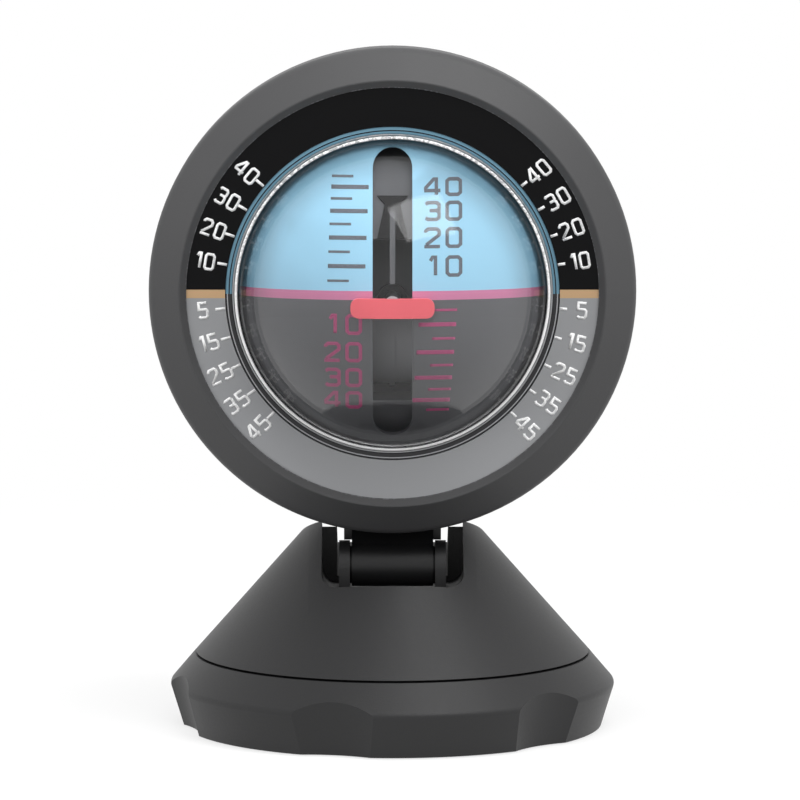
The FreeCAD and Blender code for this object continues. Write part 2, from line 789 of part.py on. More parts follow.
def rear_bowl():
    back_outer = sphere_reach("bowl_r", "0", "bowl_boss_r")
    bowl = turned("RearBowl", [
        ("bowl_inner_r", "-ball_centre_back", ("bowl_inner_r", "right")),
        ("0", "-ball_centre_back - bowl_inner_r"),
        ("0", "-bowl_boss_back"),
        ("bowl_boss_r", "-bowl_boss_back"),
        ("bowl_boss_r", "-ball_centre_back - %s" % back_outer, ("bowl_r", "left")),
        ("bowl_r", "-ball_centre_back"),
        ("bowl_r", "-bowl_flange_back"),
        ("flange_r", "-bowl_flange_back"),
        ("flange_r", "-seal_back"),
        ("bowl_inner_r", "-seal_back"),
    ])
    boss = cylinder("PlugBoss", "plug_boss_r", "plug_boss_back - ball_centre_back - bowl_r * cos(45)",
                    "0", "plug_up", "-plug_boss_back")
    inside = ball("BowlInside", "bowl_inner_r", z="-ball_centre_back")
    outer_boss = cut("PlugBossOuter", boss, inside)
    plug_hole = cylinder("PlugHole", "plug_r", "plug_boss_back - ball_centre_back",
                         "0", "plug_up", "-plug_boss_back")
    shaft_hole = cylinder("BowlShaftHole", "shaft_r", "bowl_boss_back - ball_centre_back",
                          z="-bowl_boss_back")
    made = cut("RearBowlCut", fuse("RearBowlWhole", bowl, outer_boss), plug_hole, shaft_hole)
    return piece(in_head(made), "rear_bowl")


def filler_plug():
    stem = cylinder("PlugStem", "plug_r", "plug_reach", "0", "plug_up", "-plug_boss_back")
    head = cylinder("PlugHead", "plug_head_r", "plug_head_wall",
                    "0", "plug_up", "-plug_boss_back - plug_head_wall")
    return piece(in_head(fuse("FillerPlug", stem, head)), "filler_plug")


# Shaft, gimbal and ball, drawn about the ball's centre with the shaft along Y

def at_ball(thing, turn="0"):
    return put(thing, "0", "-ball_forward", "head_height", (1, 0, 0), turn)


def along_shaft(name, radius, front, back):
    """A cylinder on the roll axis, from so far in front of the ball's centre to so far behind."""
    return cylinder(name, radius, "(%s) + (%s)" % (front, back), "0", "-(%s)" % front, "0", (1, 0, 0), "-90")


def roll_shaft():
    return piece(at_ball(group("RollShaft", along_shaft("ShaftRod", "shaft_r", "shaft_front", "shaft_back"))),
                 "roll_shaft")


def shaft_nut():
    body = hexagon("ShaftNutHex", "nut_half", "nut_wall")
    bore = cylinder("ShaftNutBore", "shaft_r", "nut_wall")
    made = cut("ShaftNut", body, bore)
    put(made, "0", "0", "-bowl_boss_back - nut_wall")
    return piece(in_head(group("ShaftNutPlaced", made)), "shaft_nut")


def shaft_collars():
    near = "rib_r + collar_gap"
    far = "rib_r + collar_gap + collar_wall"
    rings = []
    for name, front, back in (("CollarFront", far, "-(%s)" % near), ("CollarBack", "-(%s)" % near, far)):
        outer = along_shaft(name + "Outer", "collar_r", front, back)
        bore = along_shaft(name + "Bore", "shaft_r", front, back)
        rings.append(cut(name, outer, bore))
    return piece(at_ball(group("ShaftCollars", *rings)), "shaft_collars")


def index_bar():
    """The red bar: a rounded strip that follows the ball's curve just in front of it."""
    outer = ball("IndexOuter", "index_outer_r")
    inner = ball("IndexInner", "index_inner_r")
    skin = cut("IndexSkin", outer, inner)
    strip = block("IndexStrip", "2 * index_half_wide", "index_outer_r", "2 * index_half_high",
                  "-index_half_wide", "-index_outer_r", "-index_half_high - index_drop")
    close = number("turning_gap") / 10

    def along_depth(edge):
        return edge.BoundBox.YLength > close and edge.BoundBox.XLength < close and edge.BoundBox.ZLength < close
    soft = rounded("IndexStripRounded", strip, "index_round", along_depth)
    body = common("IndexBody", skin, soft)
    hole = along_shaft("IndexHole", "shaft_r", "shaft_front", "0")
    return piece(at_ball(cut("IndexBar", body, hole)), "index_bar")


def gimbal_drum():
    drum = across("Drum", "drum_r", "drum_half")
    rib = across("DrumRib", "rib_r", "rib_half")
    arms = across("DrumArms", "arm_r", "arm_reach")
    bore = along_shaft("DrumBore", "shaft_r + shaft_fit", "drum_r + overrun", "drum_r + overrun")
    pins = pin_rods("DrumPinHole")
    return piece(at_ball(cut("GimbalDrum", fuse("DrumWhole", drum, rib, arms), bore, *pins)), "gimbal_drum")


def pin_rods(name):
    """The two pitch pins, one at each side, from inside the arms out to the bushes."""
    start = "arm_reach - pin_bite"
    long = "pin_reach - arm_reach + pin_bite"
    right = cylinder(name + "Right", "pin_r", long, start, "0", "0", (0, 1, 0), "90")
    left = cylinder(name + "Left", "pin_r", long, "-pin_reach", "0", "0", (0, 1, 0), "90")
    return [right, left]


def pitch_pins():
    return piece(at_ball(group("PitchPins", *pin_rods("Pin"))), "pitch_pins")


def ball_shell(name, label, below):
    """One half of the ball: a shell with its slots and half of each pivot boss."""
    outer = ball(name + "Outer", "ball_r")
    inner = ball(name + "Inner", "ball_inner_r")
    wall = cut(name + "Wall", outer, inner)
    bosses = cut(name + "Bosses", across(name + "BossRod", "ball_boss_r", "ball_inner_r + ball_wall / 2"),
                 across(name + "BossGap", "ball_boss_r", "ball_boss_reach"))
    slot = block(name + "Slot", "2 * ball_slot_half", "2 * ball_r + 2 * overrun",
                 "2 * (ball_slot_reach - ball_slot_half)", "-ball_slot_half", "-ball_r - overrun",
                 "ball_slot_half - ball_slot_reach")
    ends = []
    for place, height in (("Top", "ball_slot_reach - ball_slot_half"), ("Foot", "ball_slot_half - ball_slot_reach")):
        ends.append(cylinder(name + "Slot" + place, "ball_slot_half", "2 * ball_r + 2 * overrun",
                             "0", "-ball_r - overrun", height, (1, 0, 0), "-90"))
    bush_hole = across(name + "BushHole", "bush_r", "bush_reach")
    other_half = block(name + "OtherHalf", "2 * ball_r", "2 * ball_r", "ball_r",
                       "-ball_r", "-ball_r", "0" if below else "-ball_r")
    whole = fuse(name + "Whole", wall, bosses)
    made = cut(name, whole, slot, *ends, bush_hole, other_half)
    return piece(at_ball(made, "-ball_rest_pitch"), label)


def pivot_bushes():
    rings = []
    for name, x in (("BushRight", "ball_boss_reach"), ("BushLeft", "-bush_reach")):
        outer = cylinder(name + "Outer", "bush_r", "bush_reach - ball_boss_reach", x, "0", "0", (0, 1, 0), "90")
        bore = cylinder(name + "Bore", "pin_r + pin_fit", "bush_reach - ball_boss_reach",
                        x, "0", "0", (0, 1, 0), "90")
        rings.append(cut(name, outer, bore))
    return piece(at_ball(group("PivotBushes", *rings)), "pivot_bushes")


def ballast_weight():
    bowl = ball("BallastBowl", "ball_inner_r - ballast_gap")
    slab = block("BallastSlab", "2 * ballast_half_wide", "2 * ballast_half_deep", "ball_inner_r",
                 "-ballast_half_wide", "-ballast_half_deep", "-ballast_top - ball_inner_r")
    return piece(at_ball(common("BallastWeight", bowl, slab)), "ballast_weight")


# Rear housing with the neck

def housing_shell():
    back = "-housing_back"
    return turned("HousingShell", [
        ("housing_inner_r", "-bezel_depth"),
        ("housing_r", "-bezel_depth"),
        ("housing_r", "-housing_bulge_back", ("housing_bulge_r", "right")),
        ("housing_back_r", back),
        ("0", back),
        ("0", "-housing_back + housing_wall"),
        ("housing_back_r - housing_wall / 2", "-housing_back + housing_wall",
         ("housing_bulge_r - housing_wall", "left")),
        ("housing_inner_r", "-housing_bulge_back"),
    ])


def neck():
    """The knuckle and the neck that rises from it into the housing."""
    rod = across("KnuckleRod", "knuckle_r", "knuckle_half", y="-pivot_down", z="-pivot_back")
    shoulder = "knuckle_r * cos(30)"
    half = "knuckle_r * sin(30)"
    points = [
        ("-pivot_down + %s" % half, "-pivot_back + %s" % shoulder),
        ("-pivot_down + neck_front_drop", "-pivot_back - neck_set_back"),
        ("-housing_r + housing_wall / 2", "-pivot_back - neck_set_back"),
        ("-housing_r + housing_wall / 2", "-pivot_back - neck_reach_back"),
        ("-pivot_down - %s" % half, "-pivot_back - %s" % shoulder),
    ]
    stem = prism("NeckStem", points, "knuckle_half")
    flare_foot = "-pivot_down + neck_flare_lift"
    flare = prism("NeckFlare", [
        (flare_foot, "-pivot_back - neck_set_back"),
        ("-housing_r + housing_wall / 2", "-pivot_back - neck_set_back"),
        ("-housing_r + housing_wall / 2", "-pivot_back - neck_reach_back"),
        (flare_foot, "-pivot_back - neck_set_back - neck_flare_wall"),
    ], "knuckle_half + neck_flare")
    return fuse("Neck", rod, stem, flare)


def rear_housing():
    shell = housing_shell()
    boss = cylinder("HousingBoss", "screw_boss_r", "screw_seat_back - bezel_depth + housing_wall",
                    "screw_ring_r", "0", "-screw_seat_back - housing_wall")
    solid = turned("HousingSolid", [
        ("0", "-bezel_depth"),
        ("housing_r", "-bezel_depth"),
        ("housing_r", "-housing_bulge_back", ("housing_bulge_r", "right")),
        ("housing_back_r", "-housing_back"),
        ("0", "-housing_back"),
    ])
    bosses = common("HousingBosses", solid, group("HousingBossSet", *copies(
        "HousingBoss", boss, HOUSING_SCREW_COUNT, HOUSING_SCREW_START)))
    hole = cylinder("HousingHole", "screw_r + screw_hole_gap", "housing_back",
                    "screw_ring_r", "0", "-housing_back")
    well = cylinder("HousingWell", "screw_well_r", "housing_back - screw_seat_back",
                    "screw_ring_r", "0", "-housing_back")
    holes = copies("HousingHole", fuse("HousingHoleTool", hole, well), HOUSING_SCREW_COUNT, HOUSING_SCREW_START)
    bore = across("KnuckleBore", "hinge_bore_r", "knuckle_half", y="-pivot_down", z="-pivot_back")
    whole = fuse("HousingWhole", shell, bosses, clamp_ring(), neck())
    return piece(in_head(cut("RearHousing", whole, *holes, bore)), "rear_housing")


def clamp_ring():
    """A ring that joins the housing's wall by its foot and holds the capsule's flange."""
    return turned("ClampRing", [
        ("flange_r - clamp_wall", "-bowl_flange_back"),
        ("flange_r", "-bowl_flange_back"),
        ("flange_r", "-bezel_depth"),
        ("housing_inner_r + housing_wall / 2", "-bezel_depth"),
        ("housing_inner_r + housing_wall / 2", "-bezel_depth - clamp_wall"),
        ("flange_r - clamp_wall", "-bezel_depth - clamp_wall"),
    ])


def housing_screws():
    head = cylinder("ScrewHead", "screw_head_r", "screw_head_wall",
                    "screw_ring_r", "0", "-screw_seat_back - screw_head_wall")
    shank = cylinder("ScrewShank", "screw_r", "screw_seat_back - bezel_depth + screw_bite",
                     "screw_ring_r", "0", "-screw_seat_back")
    screw = fuse("HousingScrew", head, shank)
    screws = group("HousingScrews", *copies("HousingScrew", screw, HOUSING_SCREW_COUNT, HOUSING_SCREW_START))
    return piece(in_head(screws), "housing_screws")


def build():
    fill_sheet()
    base_ring()
    base_plate()
    plate_screws()
    adhesive_pad()
    swivel_screw()
    swivel_washer()
    pedestal()
    hinge_pin()
    friction_washers()
    bezel()
    dial_ring()
    front_dome()
    capsule_seal()
    rear_bowl()
    filler_plug()
    roll_shaft()
    shaft_nut()
    shaft_collars()
    index_bar()
    gimbal_drum()
    pitch_pins()
    ball_shell("BallUpper", "ball_upper_shell", False)
    ball_shell("BallLower", "ball_lower_shell", True)
    pivot_bushes()
    ballast_weight()
    rear_housing()
    housing_screws()
    doc.recompute()


def check():
    """Stops before anything is written if any object failed or any piece isn't a sound solid."""
    for thing in doc.Objects:
        if "Invalid" in thing.State or "Error" in thing.State:
            raise RuntimeError("%s failed: %s" % (thing.Name, thing.State))
    for thing in pieces:
        if thing.Shape.isNull() or not thing.Shape.isValid() or not thing.Shape.Solids:
            raise RuntimeError("%s has no sound shape" % thing.Label)


def write():
    os.makedirs("parts", exist_ok=True)
    for thing in pieces:
        thing.Shape.exportStep("parts/%s.step" % thing.Label)
        print(thing.Label, len(thing.Shape.Solids), "solids, volume", round(thing.Shape.Volume, 1))


build()
check()
write()
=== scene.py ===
"""Looks of the dashboard inclinometer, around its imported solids. Metres, +Z up, the dial faces -Y."""

import math

import bpy
from bpy.props import FloatProperty, PointerProperty, StringProperty
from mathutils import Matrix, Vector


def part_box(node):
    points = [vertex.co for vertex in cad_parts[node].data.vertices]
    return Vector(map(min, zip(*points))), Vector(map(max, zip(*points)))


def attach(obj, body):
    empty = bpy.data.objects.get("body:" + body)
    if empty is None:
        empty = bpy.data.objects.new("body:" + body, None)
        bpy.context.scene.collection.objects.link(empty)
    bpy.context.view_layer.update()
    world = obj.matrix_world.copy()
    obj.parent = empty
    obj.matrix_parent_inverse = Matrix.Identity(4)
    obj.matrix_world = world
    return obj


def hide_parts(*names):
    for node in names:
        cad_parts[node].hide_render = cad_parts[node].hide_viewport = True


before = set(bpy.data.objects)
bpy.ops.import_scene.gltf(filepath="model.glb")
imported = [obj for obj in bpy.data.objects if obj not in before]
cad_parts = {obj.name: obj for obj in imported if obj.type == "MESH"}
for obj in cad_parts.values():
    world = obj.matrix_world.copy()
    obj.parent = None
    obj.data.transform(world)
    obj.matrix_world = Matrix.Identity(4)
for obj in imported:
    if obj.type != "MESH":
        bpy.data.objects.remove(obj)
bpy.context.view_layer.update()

bl_info = {
    "name": "Dashboard inclinometer",
    "version": (1, 0, 0),
    "blender": (4, 5, 0),
    "location": "View3D > Sidebar > Inclinometer",
    "description": "Prints, finishes and stage for the dashboard inclinometer",
    "category": "Object",
}

MM = 0.001

# The dial's axis runs along Y at the head's height, and the dial, the ball and the dome stand along it.
HEAD_HEIGHT = 62.0 * MM
DIAL_Y = -15.2 * MM
BALL_Y = -7.0 * MM
BALL_R = 21.3 * MM
DOME_CENTRE_Y = DIAL_Y + 6.65 * MM

# What is laid on a ball is drawn this far in front of it.
IN_FRONT = -2 * BALL_R

# Ink is thinner where it crosses other ink, so that no two faces coincide.
INK = 0.06 * MM
THIN_INK = INK * 0.8

# The photo's width and the head's middle in it, in pixels.
PHOTO_WIDE = 800
HEAD_ACROSS, HEAD_DOWN = 392.5, 291.8


# Sizes and colours that a user would change

def colour(name, description, hex_text):
    return StringProperty(name=name, description=description, default=hex_text)


def length(name, description, size):
    return FloatProperty(name=name, description=description, default=size, unit="LENGTH", min=0.0)


def angle(name, description, degrees):
    return FloatProperty(name=name, description=description, default=math.radians(degrees), subtype="ANGLE")


def power(name, description, watts):
    return FloatProperty(name=name, description=description, default=watts, min=0.0)


class BodyLook(bpy.types.PropertyGroup):
    """The moulded head, cone and base ring, and the screws at the back."""
    head: colour("Head", "Bezel and rear housing", "#3C3C3D")
    # The neck colour is painted shade: it darkens the neck and knuckle where the head's shadow falls.
    neck: colour("Neck", "Neck and knuckle under the head, polished smooth", "#0E0E0F")
    base: colour("Base", "Cone and base ring", "#131314")
    grain: length("Grain", "Width of the mould's grain", 0.3 * MM)
    # The lip's paler specks are a painted highlight, for the light that the lip catches.
    lip_radius: length("Lip radius", "Where the bezel's thin lip is rubbed bright", 28.22 * MM)
    screw_radius: length("Screw radius", "Half the width of a rear screw's head", 1.8 * MM)
    screw_height: length("Screw height", "Height of its head", 1.3 * MM)
    recess: length("Recess", "Length of an arm of its cross recess", 1.05 * MM)


class DialPrint(bpy.types.PropertyGroup):
    """The scale printed on the ring round the dome."""
    label_radius: length("Label radius", "From the dial's middle to the middle of each number", 26.0 * MM)
    digit_height: length("Digit height", "Height of the printed numbers", 2.4 * MM)
    digit_width: length("Digit width", "Width of a wide digit", 1.52 * MM)
    digit_gap: length("Digit gap", "Space between two digits", 0.34 * MM)
    stroke: length("Stroke", "Width of the printed lines", 0.36 * MM)
    tick_left: length("Left ticks", "Length of the ticks on the left", 1.35 * MM)
    tick_right: length("Right ticks", "Length of the ticks on the right", 1.0 * MM)
    hole_radius: length("Hole radius", "Inner edge of the ring", 22.95 * MM)
    bar_half: length("Level bar half height", "Half the height of the two gold bars", 0.58 * MM)
    ink: colour("Ink", "Numbers and ticks", "#FAFAFA")
    upper: colour("Upper half", "The ring above the level bars", "#0A0A0B")
    lower: colour("Lower half", "The ring below the level bars", "#98999B")
    bar: colour("Level bars", "The two gold bars", "#C4A37E")


class BallPrint(bpy.types.PropertyGroup):
    """The pitch marks and numbers on the ball."""
    rest_pitch: angle("Rest pitch", "How far the ball's front is raised at rest", 2.6)
    step_stretch: FloatProperty(name="Mark spacing", description="Printed spacing over true angle",
                                default=1.05, min=0.5, max=2.0)
    digit_height: length("Digit height", "Height of the ball's numbers", 2.85 * MM)
    digit_width: length("Digit width", "Width of a wide digit", 2.24 * MM)
    digit_gap: length("Digit gap", "Space between two digits", 0.62 * MM)
    stroke: length("Stroke", "Width of the numbers' lines", 0.45 * MM)
    short_bar: length("Short bar", "Length of the 5 degree marks", 3.05 * MM)
    long_bar: length("Long bar", "Length of the 10 degree marks", 5.0 * MM)
    thin: length("Thin bar", "Height of the short marks", 0.32 * MM)
    thick: length("Thick bar", "Height of the long marks", 0.54 * MM)
    band_half: length("Horizon half height", "Half the height of the horizon band", 0.6 * MM)
    sky: colour("Sky", "Upper half of the ball", "#A4D9F2")
    ground: colour("Ground", "Lower half of the ball", "#636466")
    horizon: colour("Horizon", "The band between the halves", "#D584A8")
    sky_ink: colour("Sky marks", "Marks on the upper half", "#6B7078")
    ground_ink: colour("Ground marks", "Marks on the lower half", "#B9527F")


class CapsuleLook(bpy.types.PropertyGroup):
    """The clear dome, its bright foot and what shows through the ball's slot."""
    dome_radius: length("Dome radius", "Outer radius of the clear dome", 22.45 * MM)
    dome_wall: length("Dome wall", "Thickness of the clear dome", 0.85 * MM)
    flange_radius: length("Flange radius", "Rim of the dome's flange, under the dial", 25.9 * MM)
    foot_radius: length("Foot radius", "Middle of the bright bead at the dome's foot", 21.3 * MM)
    foot_round: length("Foot bead", "Half the width of the bead", 0.3 * MM)
    step_radius: length("Step radius", "Middle of the thin step outside the bead", 21.78 * MM)
    step_round: length("Foot step", "Half the width of that step", 0.12 * MM)
    edge_inner: length("Edge inner radius", "Inner edge of the band outside the bead", 21.92 * MM)
    edge_outer: length("Edge outer radius", "Outer edge of that band", 22.84 * MM)
    # The edge colours are a painted reflection of the ball's colours in the dome's clear edge, and the edge
    # line is a painted shadow line.
    sky_edge: colour("Edge by the sky", "The ball's blue as the dome's edge shows it", "#5E8497")
    ground_edge: colour("Edge by the ground", "The ball's grey as the dome's edge shows it", "#262628")
    edge_line: colour("Edge line", "The dark line of the groove along the dome's edge", "#0C141B")
    inside: colour("Inside of the ball", "Bare plastic inside the painted ball", "#77787A")
    # The gimbal's pale underside colour is a painted highlight, for the light from below.
    drum: colour("Gimbal", "The drum's upper half", "#3A3B3D")
    drum_low: colour("Gimbal underside", "The drum's lower half", "#CBCCCE")
    strap: colour("Gimbal strap", "The strap that arches over the drum", "#58595B")
    bar: colour("Index bar", "The red bar", "#EE6871")
    # The rim shade is painted shade in the dome's colour: the ball's dim edge and the bezel's shadow above
    # it.
    rim_shade: colour("Rim shade", "What the clear wall darkens to where it is seen edge on", "#626262")


class StageLook(bpy.types.PropertyGroup):
    """Floor, lamps and camera."""
    camera_away: length("Camera distance", "From the bezel's middle to the camera", 750 * MM)
    camera_up: angle("Camera height", "How far above the head's middle the camera stands", 5.25)
    focal_px: FloatProperty(name="Focal length", description="In pixels of an 800 pixel wide image",
                            default=5463.0, min=1.0)
    room_light: power("Room light", "Strength of the even light", 0.3)
    key_light: power("Key lamp", "Watts of the soft box above, in front and to the right", 2.2)
    front_light: power("Front lamp", "Watts of the lamp in front", 1.4)
    top_light: power("Top lamp", "Watts of the lamp overhead", 4.4)
    side_light: power("Side lamps", "Watts of each low lamp beside the object", 3.3)
    floor: colour("Floor", "The floor under the base", "#F4F4F4")
    floor_bounce: colour("Floor bounce", "The floor as it lights the object from below", "#6E6E6E")
    floor_share: FloatProperty(name="Floor shading", default=0.3, min=0.0, max=1.0,
                               description="How much of the lit floor shows in its white")
    floor_near: length("Near floor", "Where the floor starts to fade into the white room", 60 * MM)
    floor_far: length("Far floor", "Where it has faded", 260 * MM)


# Small helpers

def linear(hex_text):
    """An sRGB hex colour as the linear numbers that Blender's sockets hold."""
    parts = [int(hex_text[start:start + 2], 16) / 255 for start in (1, 3, 5)]
    return [part / 12.92 if part <= 0.04045 else ((part + 0.055) / 1.055) ** 2.4 for part in parts] + [1.0]


def add_node(tree, kind, settings=None, give=0, **inputs):
    """Adds a node and gives one of its outputs. Settings are its own choices, and inputs are numbers, hex
    colours or other nodes' outputs, named, or numbered as i0, i1 and so on."""
    made = tree.nodes.new("ShaderNode" + kind)
    for name, value in (settings or {}).items():
        setattr(made, name, value)
    for name, value in inputs.items():
        place = int(name[1:]) if name[1:].isdigit() else name.replace("_", " ")
        if isinstance(value, bpy.types.NodeSocket):
            tree.links.new(value, made.inputs[place])
        else:
            made.inputs[place].default_value = linear(value) if isinstance(value, str) else value
    return made.outputs[give] if made.outputs else None


COLOURS = {"data_type": "RGBA"}
TIMES = {"operation": "MULTIPLY"}
MINUS = {"operation": "SUBTRACT"}
SMOOTH = {"interpolation_type": "SMOOTHSTEP"}


def new_material(name):
    """An empty material, its tree to fill and the place on the piece that its patterns read."""
    made = bpy.data.materials.new(name)
    made.use_nodes = True
    tree = made.node_tree
    tree.nodes.clear()
    return made, tree, add_node(tree, "TexCoord", give="Object")


def above_axis(tree, place):
    """How high a point is above the dial's axis."""
    high = add_node(tree, "SeparateXYZ", give="Z", Vector=place)
    return add_node(tree, "Math", MINUS, i0=high, i1=HEAD_HEIGHT)


def off_axis(tree, place):
    """How far out from the dial's axis a point is."""
    about = add_node(tree, "VectorMath", MINUS, i0=place, i1=(0, 0, HEAD_HEIGHT))
    flat = add_node(tree, "VectorMath", TIMES, i0=about, i1=(1, 0, 1))
    return add_node(tree, "VectorMath", {"operation": "LENGTH"}, give="Value", i0=flat)


def between(tree, value, low, high):
    """1 where a value lies between two limits, else 0."""
    above = add_node(tree, "Math", {"operation": "GREATER_THAN"}, i0=value, i1=low)
    below = add_node(tree, "Math", {"operation": "LESS_THAN"}, i0=value, i1=high)
    return add_node(tree, "Math", TIMES, i0=above, i1=below)


def moulded_plastic(name, base, grain, roughness, depth, specular=0.5, patches=()):
    """Moulded plastic, rubber or foam: its base colour with a fine grain. Patches are colours and the
    shares of the surface that they take."""
    made, tree, place = new_material(name)
    fine = add_node(tree, "TexNoise", Vector=place, Scale=1 / grain, Detail=3.0, Roughness=0.6)
    broad = add_node(tree, "TexNoise", Vector=place, Scale=1 / (14 * MM), Detail=2.0)
    paler = [part * 1.2 for part in linear(base)[:3]] + [1.0]
    tone = add_node(tree, "Mix", COLOURS, give=2, i0=broad, i6=base, i7=paler)
    for patch, share in patches:
        tone = add_node(tree, "Mix", COLOURS, give=2, i0=share(tree, place), i6=tone, i7=patch)
    rough = add_node(tree, "MapRange", Value=fine, To_Min=roughness - 0.06, To_Max=roughness + 0.06)
    bump = add_node(tree, "Bump", Strength=depth, Distance=0.05 * MM, Height=fine)
    shader = add_node(tree, "BsdfPrincipled", Base_Color=tone, Roughness=rough, Normal=bump, IOR=1.5,
                      Specular_IOR_Level=specular)
    add_node(tree, "OutputMaterial", Surface=shader)
    return made


def plain_metal(name, base, roughness):
    """Metal that is turned, plated or cast: fine marks break up its shine."""
    made, tree, place = new_material(name)
    fine = add_node(tree, "TexNoise", Vector=place, Scale=1 / (0.15 * MM), Detail=2.0)
    rough = add_node(tree, "MapRange", Value=fine, To_Min=roughness - 0.08, To_Max=roughness + 0.08)
    bump = add_node(tree, "Bump", Strength=0.2, Distance=0.01 * MM, Height=fine)
    shader = add_node(tree, "BsdfPrincipled", Base_Color=base, Metallic=1.0, Roughness=rough, Normal=bump)
    add_node(tree, "OutputMaterial", Surface=shader)
    return made


def ink_material(name, base):
    """Pad-printed ink: flat and slightly rough, with pinholes where it took badly."""
    made, tree, place = new_material(name)
    spots = add_node(tree, "TexNoise", Vector=place, Scale=1 / (0.25 * MM), Detail=3.0)
    thin = add_node(tree, "MapRange", Value=spots, From_Min=0.35, From_Max=0.6, To_Min=0.82, To_Max=1.0)
    tone = add_node(tree, "Mix", {"data_type": "RGBA", "blend_type": "MULTIPLY"}, give=2, i0=1.0,
                    i6=base, i7=thin)
    shader = add_node(tree, "BsdfPrincipled", Base_Color=tone, Roughness=0.55, IOR=1.5,
                      Specular_IOR_Level=0.3)
    add_node(tree, "OutputMaterial", Surface=shader)
    return made


def dress(material, *nodes):
    """Gives CAD nodes a material."""
    for name in nodes:
        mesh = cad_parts[name].data
        mesh.materials.clear()
        mesh.materials.append(material)


def hand_over(piece, material, body, slot, *nodes):
    """Gives a finished piece its material and its body, and hides the nodes that it stands for. The slot is
    not used.
    """
    piece.data.materials.clear()
    piece.data.materials.append(material)
    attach(piece, body)
    if nodes:
        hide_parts(*nodes)


def only(*objects):
    """Selects these objects and no others."""
    bpy.ops.object.select_all(action="DESELECT")
    for thing in objects:
        thing.select_set(True)
    bpy.context.view_layer.objects.active = objects[0]


def latest(name):
    """The object just added, under its own name."""
    made = bpy.context.view_layer.objects.active
    made.name = name
    made.data.name = name
    only(made)
    return made


def settle(thing, **change):
    """Moves, turns or sizes an object and applies that, so that it is in its mesh."""
    for name, value in change.items():
        setattr(thing, name, value)
    only(thing)
    bpy.ops.object.transform_apply(location=True, rotation=True, scale=True)
    return thing


def join(name, parts):
    """Makes one object of several."""
    only(*parts)
    bpy.ops.object.join()
    return latest(name)


def edit(thing, select="SELECT"):
    """Opens an object's mesh for editing, with all or nothing of it selected."""
    only(thing)
    bpy.ops.object.mode_set(mode="EDIT")
    bpy.ops.mesh.select_all(action=select)


def done():
    bpy.ops.object.mode_set(mode="OBJECT")


def pick_edges(thing, wanted):
    """Selects the edges whose two ends pass a test, and leaves the mesh open."""
    edit(thing, "DESELECT")
    done()
    vertices = thing.data.vertices
    for edge in thing.data.edges:
        edge.select = all(wanted(vertices[end].co) for end in edge.vertices)
    bpy.ops.object.mode_set(mode="EDIT")
    bpy.ops.mesh.select_mode(type="EDGE")


def with_modifier(thing, kind, **settings):
    """Adds one modifier with its settings and applies it."""
    modifier = thing.modifiers.new(kind.lower(), kind)
    for name, value in settings.items():
        setattr(modifier, name, value)
    only(thing)
    bpy.ops.object.modifier_apply(modifier=modifier.name)
    return thing


def clean_normals(thing):
    """Merges doubles and turns all faces outwards."""
    edit(thing)
    bpy.ops.mesh.remove_doubles(threshold=0.000001)
    bpy.ops.mesh.normals_make_consistent(inside=False)
    done()
    return thing


def smooth(thing, degrees=35):
    only(thing)
    bpy.ops.object.shade_smooth_by_angle(angle=math.radians(degrees))
    return thing


def thicken(thing, thickness):
    """Gives a flat print its ink's thickness, half of it sunk into what it is printed on."""
    return clean_normals(with_modifier(thing, "SOLIDIFY", thickness=thickness, offset=0.0))


def spin_about(thing, middle, axis, degrees, steps):
    """Spins a flat outline into a solid. A full turn is closed on itself."""
    edit(thing)
    bpy.ops.mesh.spin(steps=steps, angle=math.radians(degrees), center=middle, axis=axis)
    done()
    return smooth(clean_normals(thing))


# Lines of print

# Each digit's lines, on a cell one unit wide and high: those drawn first, and those that cross or meet them.
BEND = 0.18
DIGITS = {
    "0": ([(BEND, 0), (1 - BEND, 0), (1, BEND * 0.7), (1, 1 - BEND * 0.7), (1 - BEND, 1), (BEND, 1),
           (0, 1 - BEND * 0.7), (0, BEND * 0.7), (BEND, 0)], None),
    "1": ([(0.62, 0.8), (0.78, 1), (1, 1), (1, 0)], None),
    "2": ([(0, 0.8), (0, 0.88), (BEND, 1), (1 - BEND, 1), (1, 0.88), (1, 0.66), (0.04, 0.1)],
          [(-0.1, 0), (1.06, 0)]),
    "3": ([(0, 0.9), (BEND, 1), (1 - BEND, 1), (1, 0.88), (1, 0.62), (0.84, 0.53), (1, 0.42), (1, 0.12),
           (1 - BEND, 0), (BEND, 0), (0, 0.1)], [(0.3, 0.53), (0.8, 0.53)]),
    "4": ([(0.8, 0), (0.8, 1), (0.6, 1), (0, 0.44), (0, 0.27)], [(-0.1, 0.27), (1.1, 0.27)]),
    "5": ([(0.96, 1), (0.04, 1), (0, 0.56), (1 - BEND, 0.56), (1, 0.45), (1, 0.12), (1 - BEND, 0), (BEND, 0),
           (0, 0.1)], None),
}


def number_lines(text, wide, high, gap, stroke, narrow_one):
    """A number's two layers of lines, about its middle. The cell of a narrow 1 holds little more than its
    stem, and a 1 in a wide cell stands near the cell's middle."""
    narrow, to_middle = wide * 0.6, -0.22 * wide
    cells = [narrow if narrow_one and digit == "1" else wide for digit in text]
    left = -(sum(cells) + gap * (len(text) - 1)) / 2
    under, over = [], []
    for digit, cell in zip(text, cells):
        shift = 0 if digit != "1" else narrow - wide if narrow_one else to_middle
        for layer, points in zip((under, over), DIGITS[digit]):
            if points:
                layer.append([(left + shift + stroke / 2 + x * (wide - stroke),
                               stroke / 2 + y * (high - stroke) - high / 2) for x, y in points])
        left += cell + gap
    return under, over


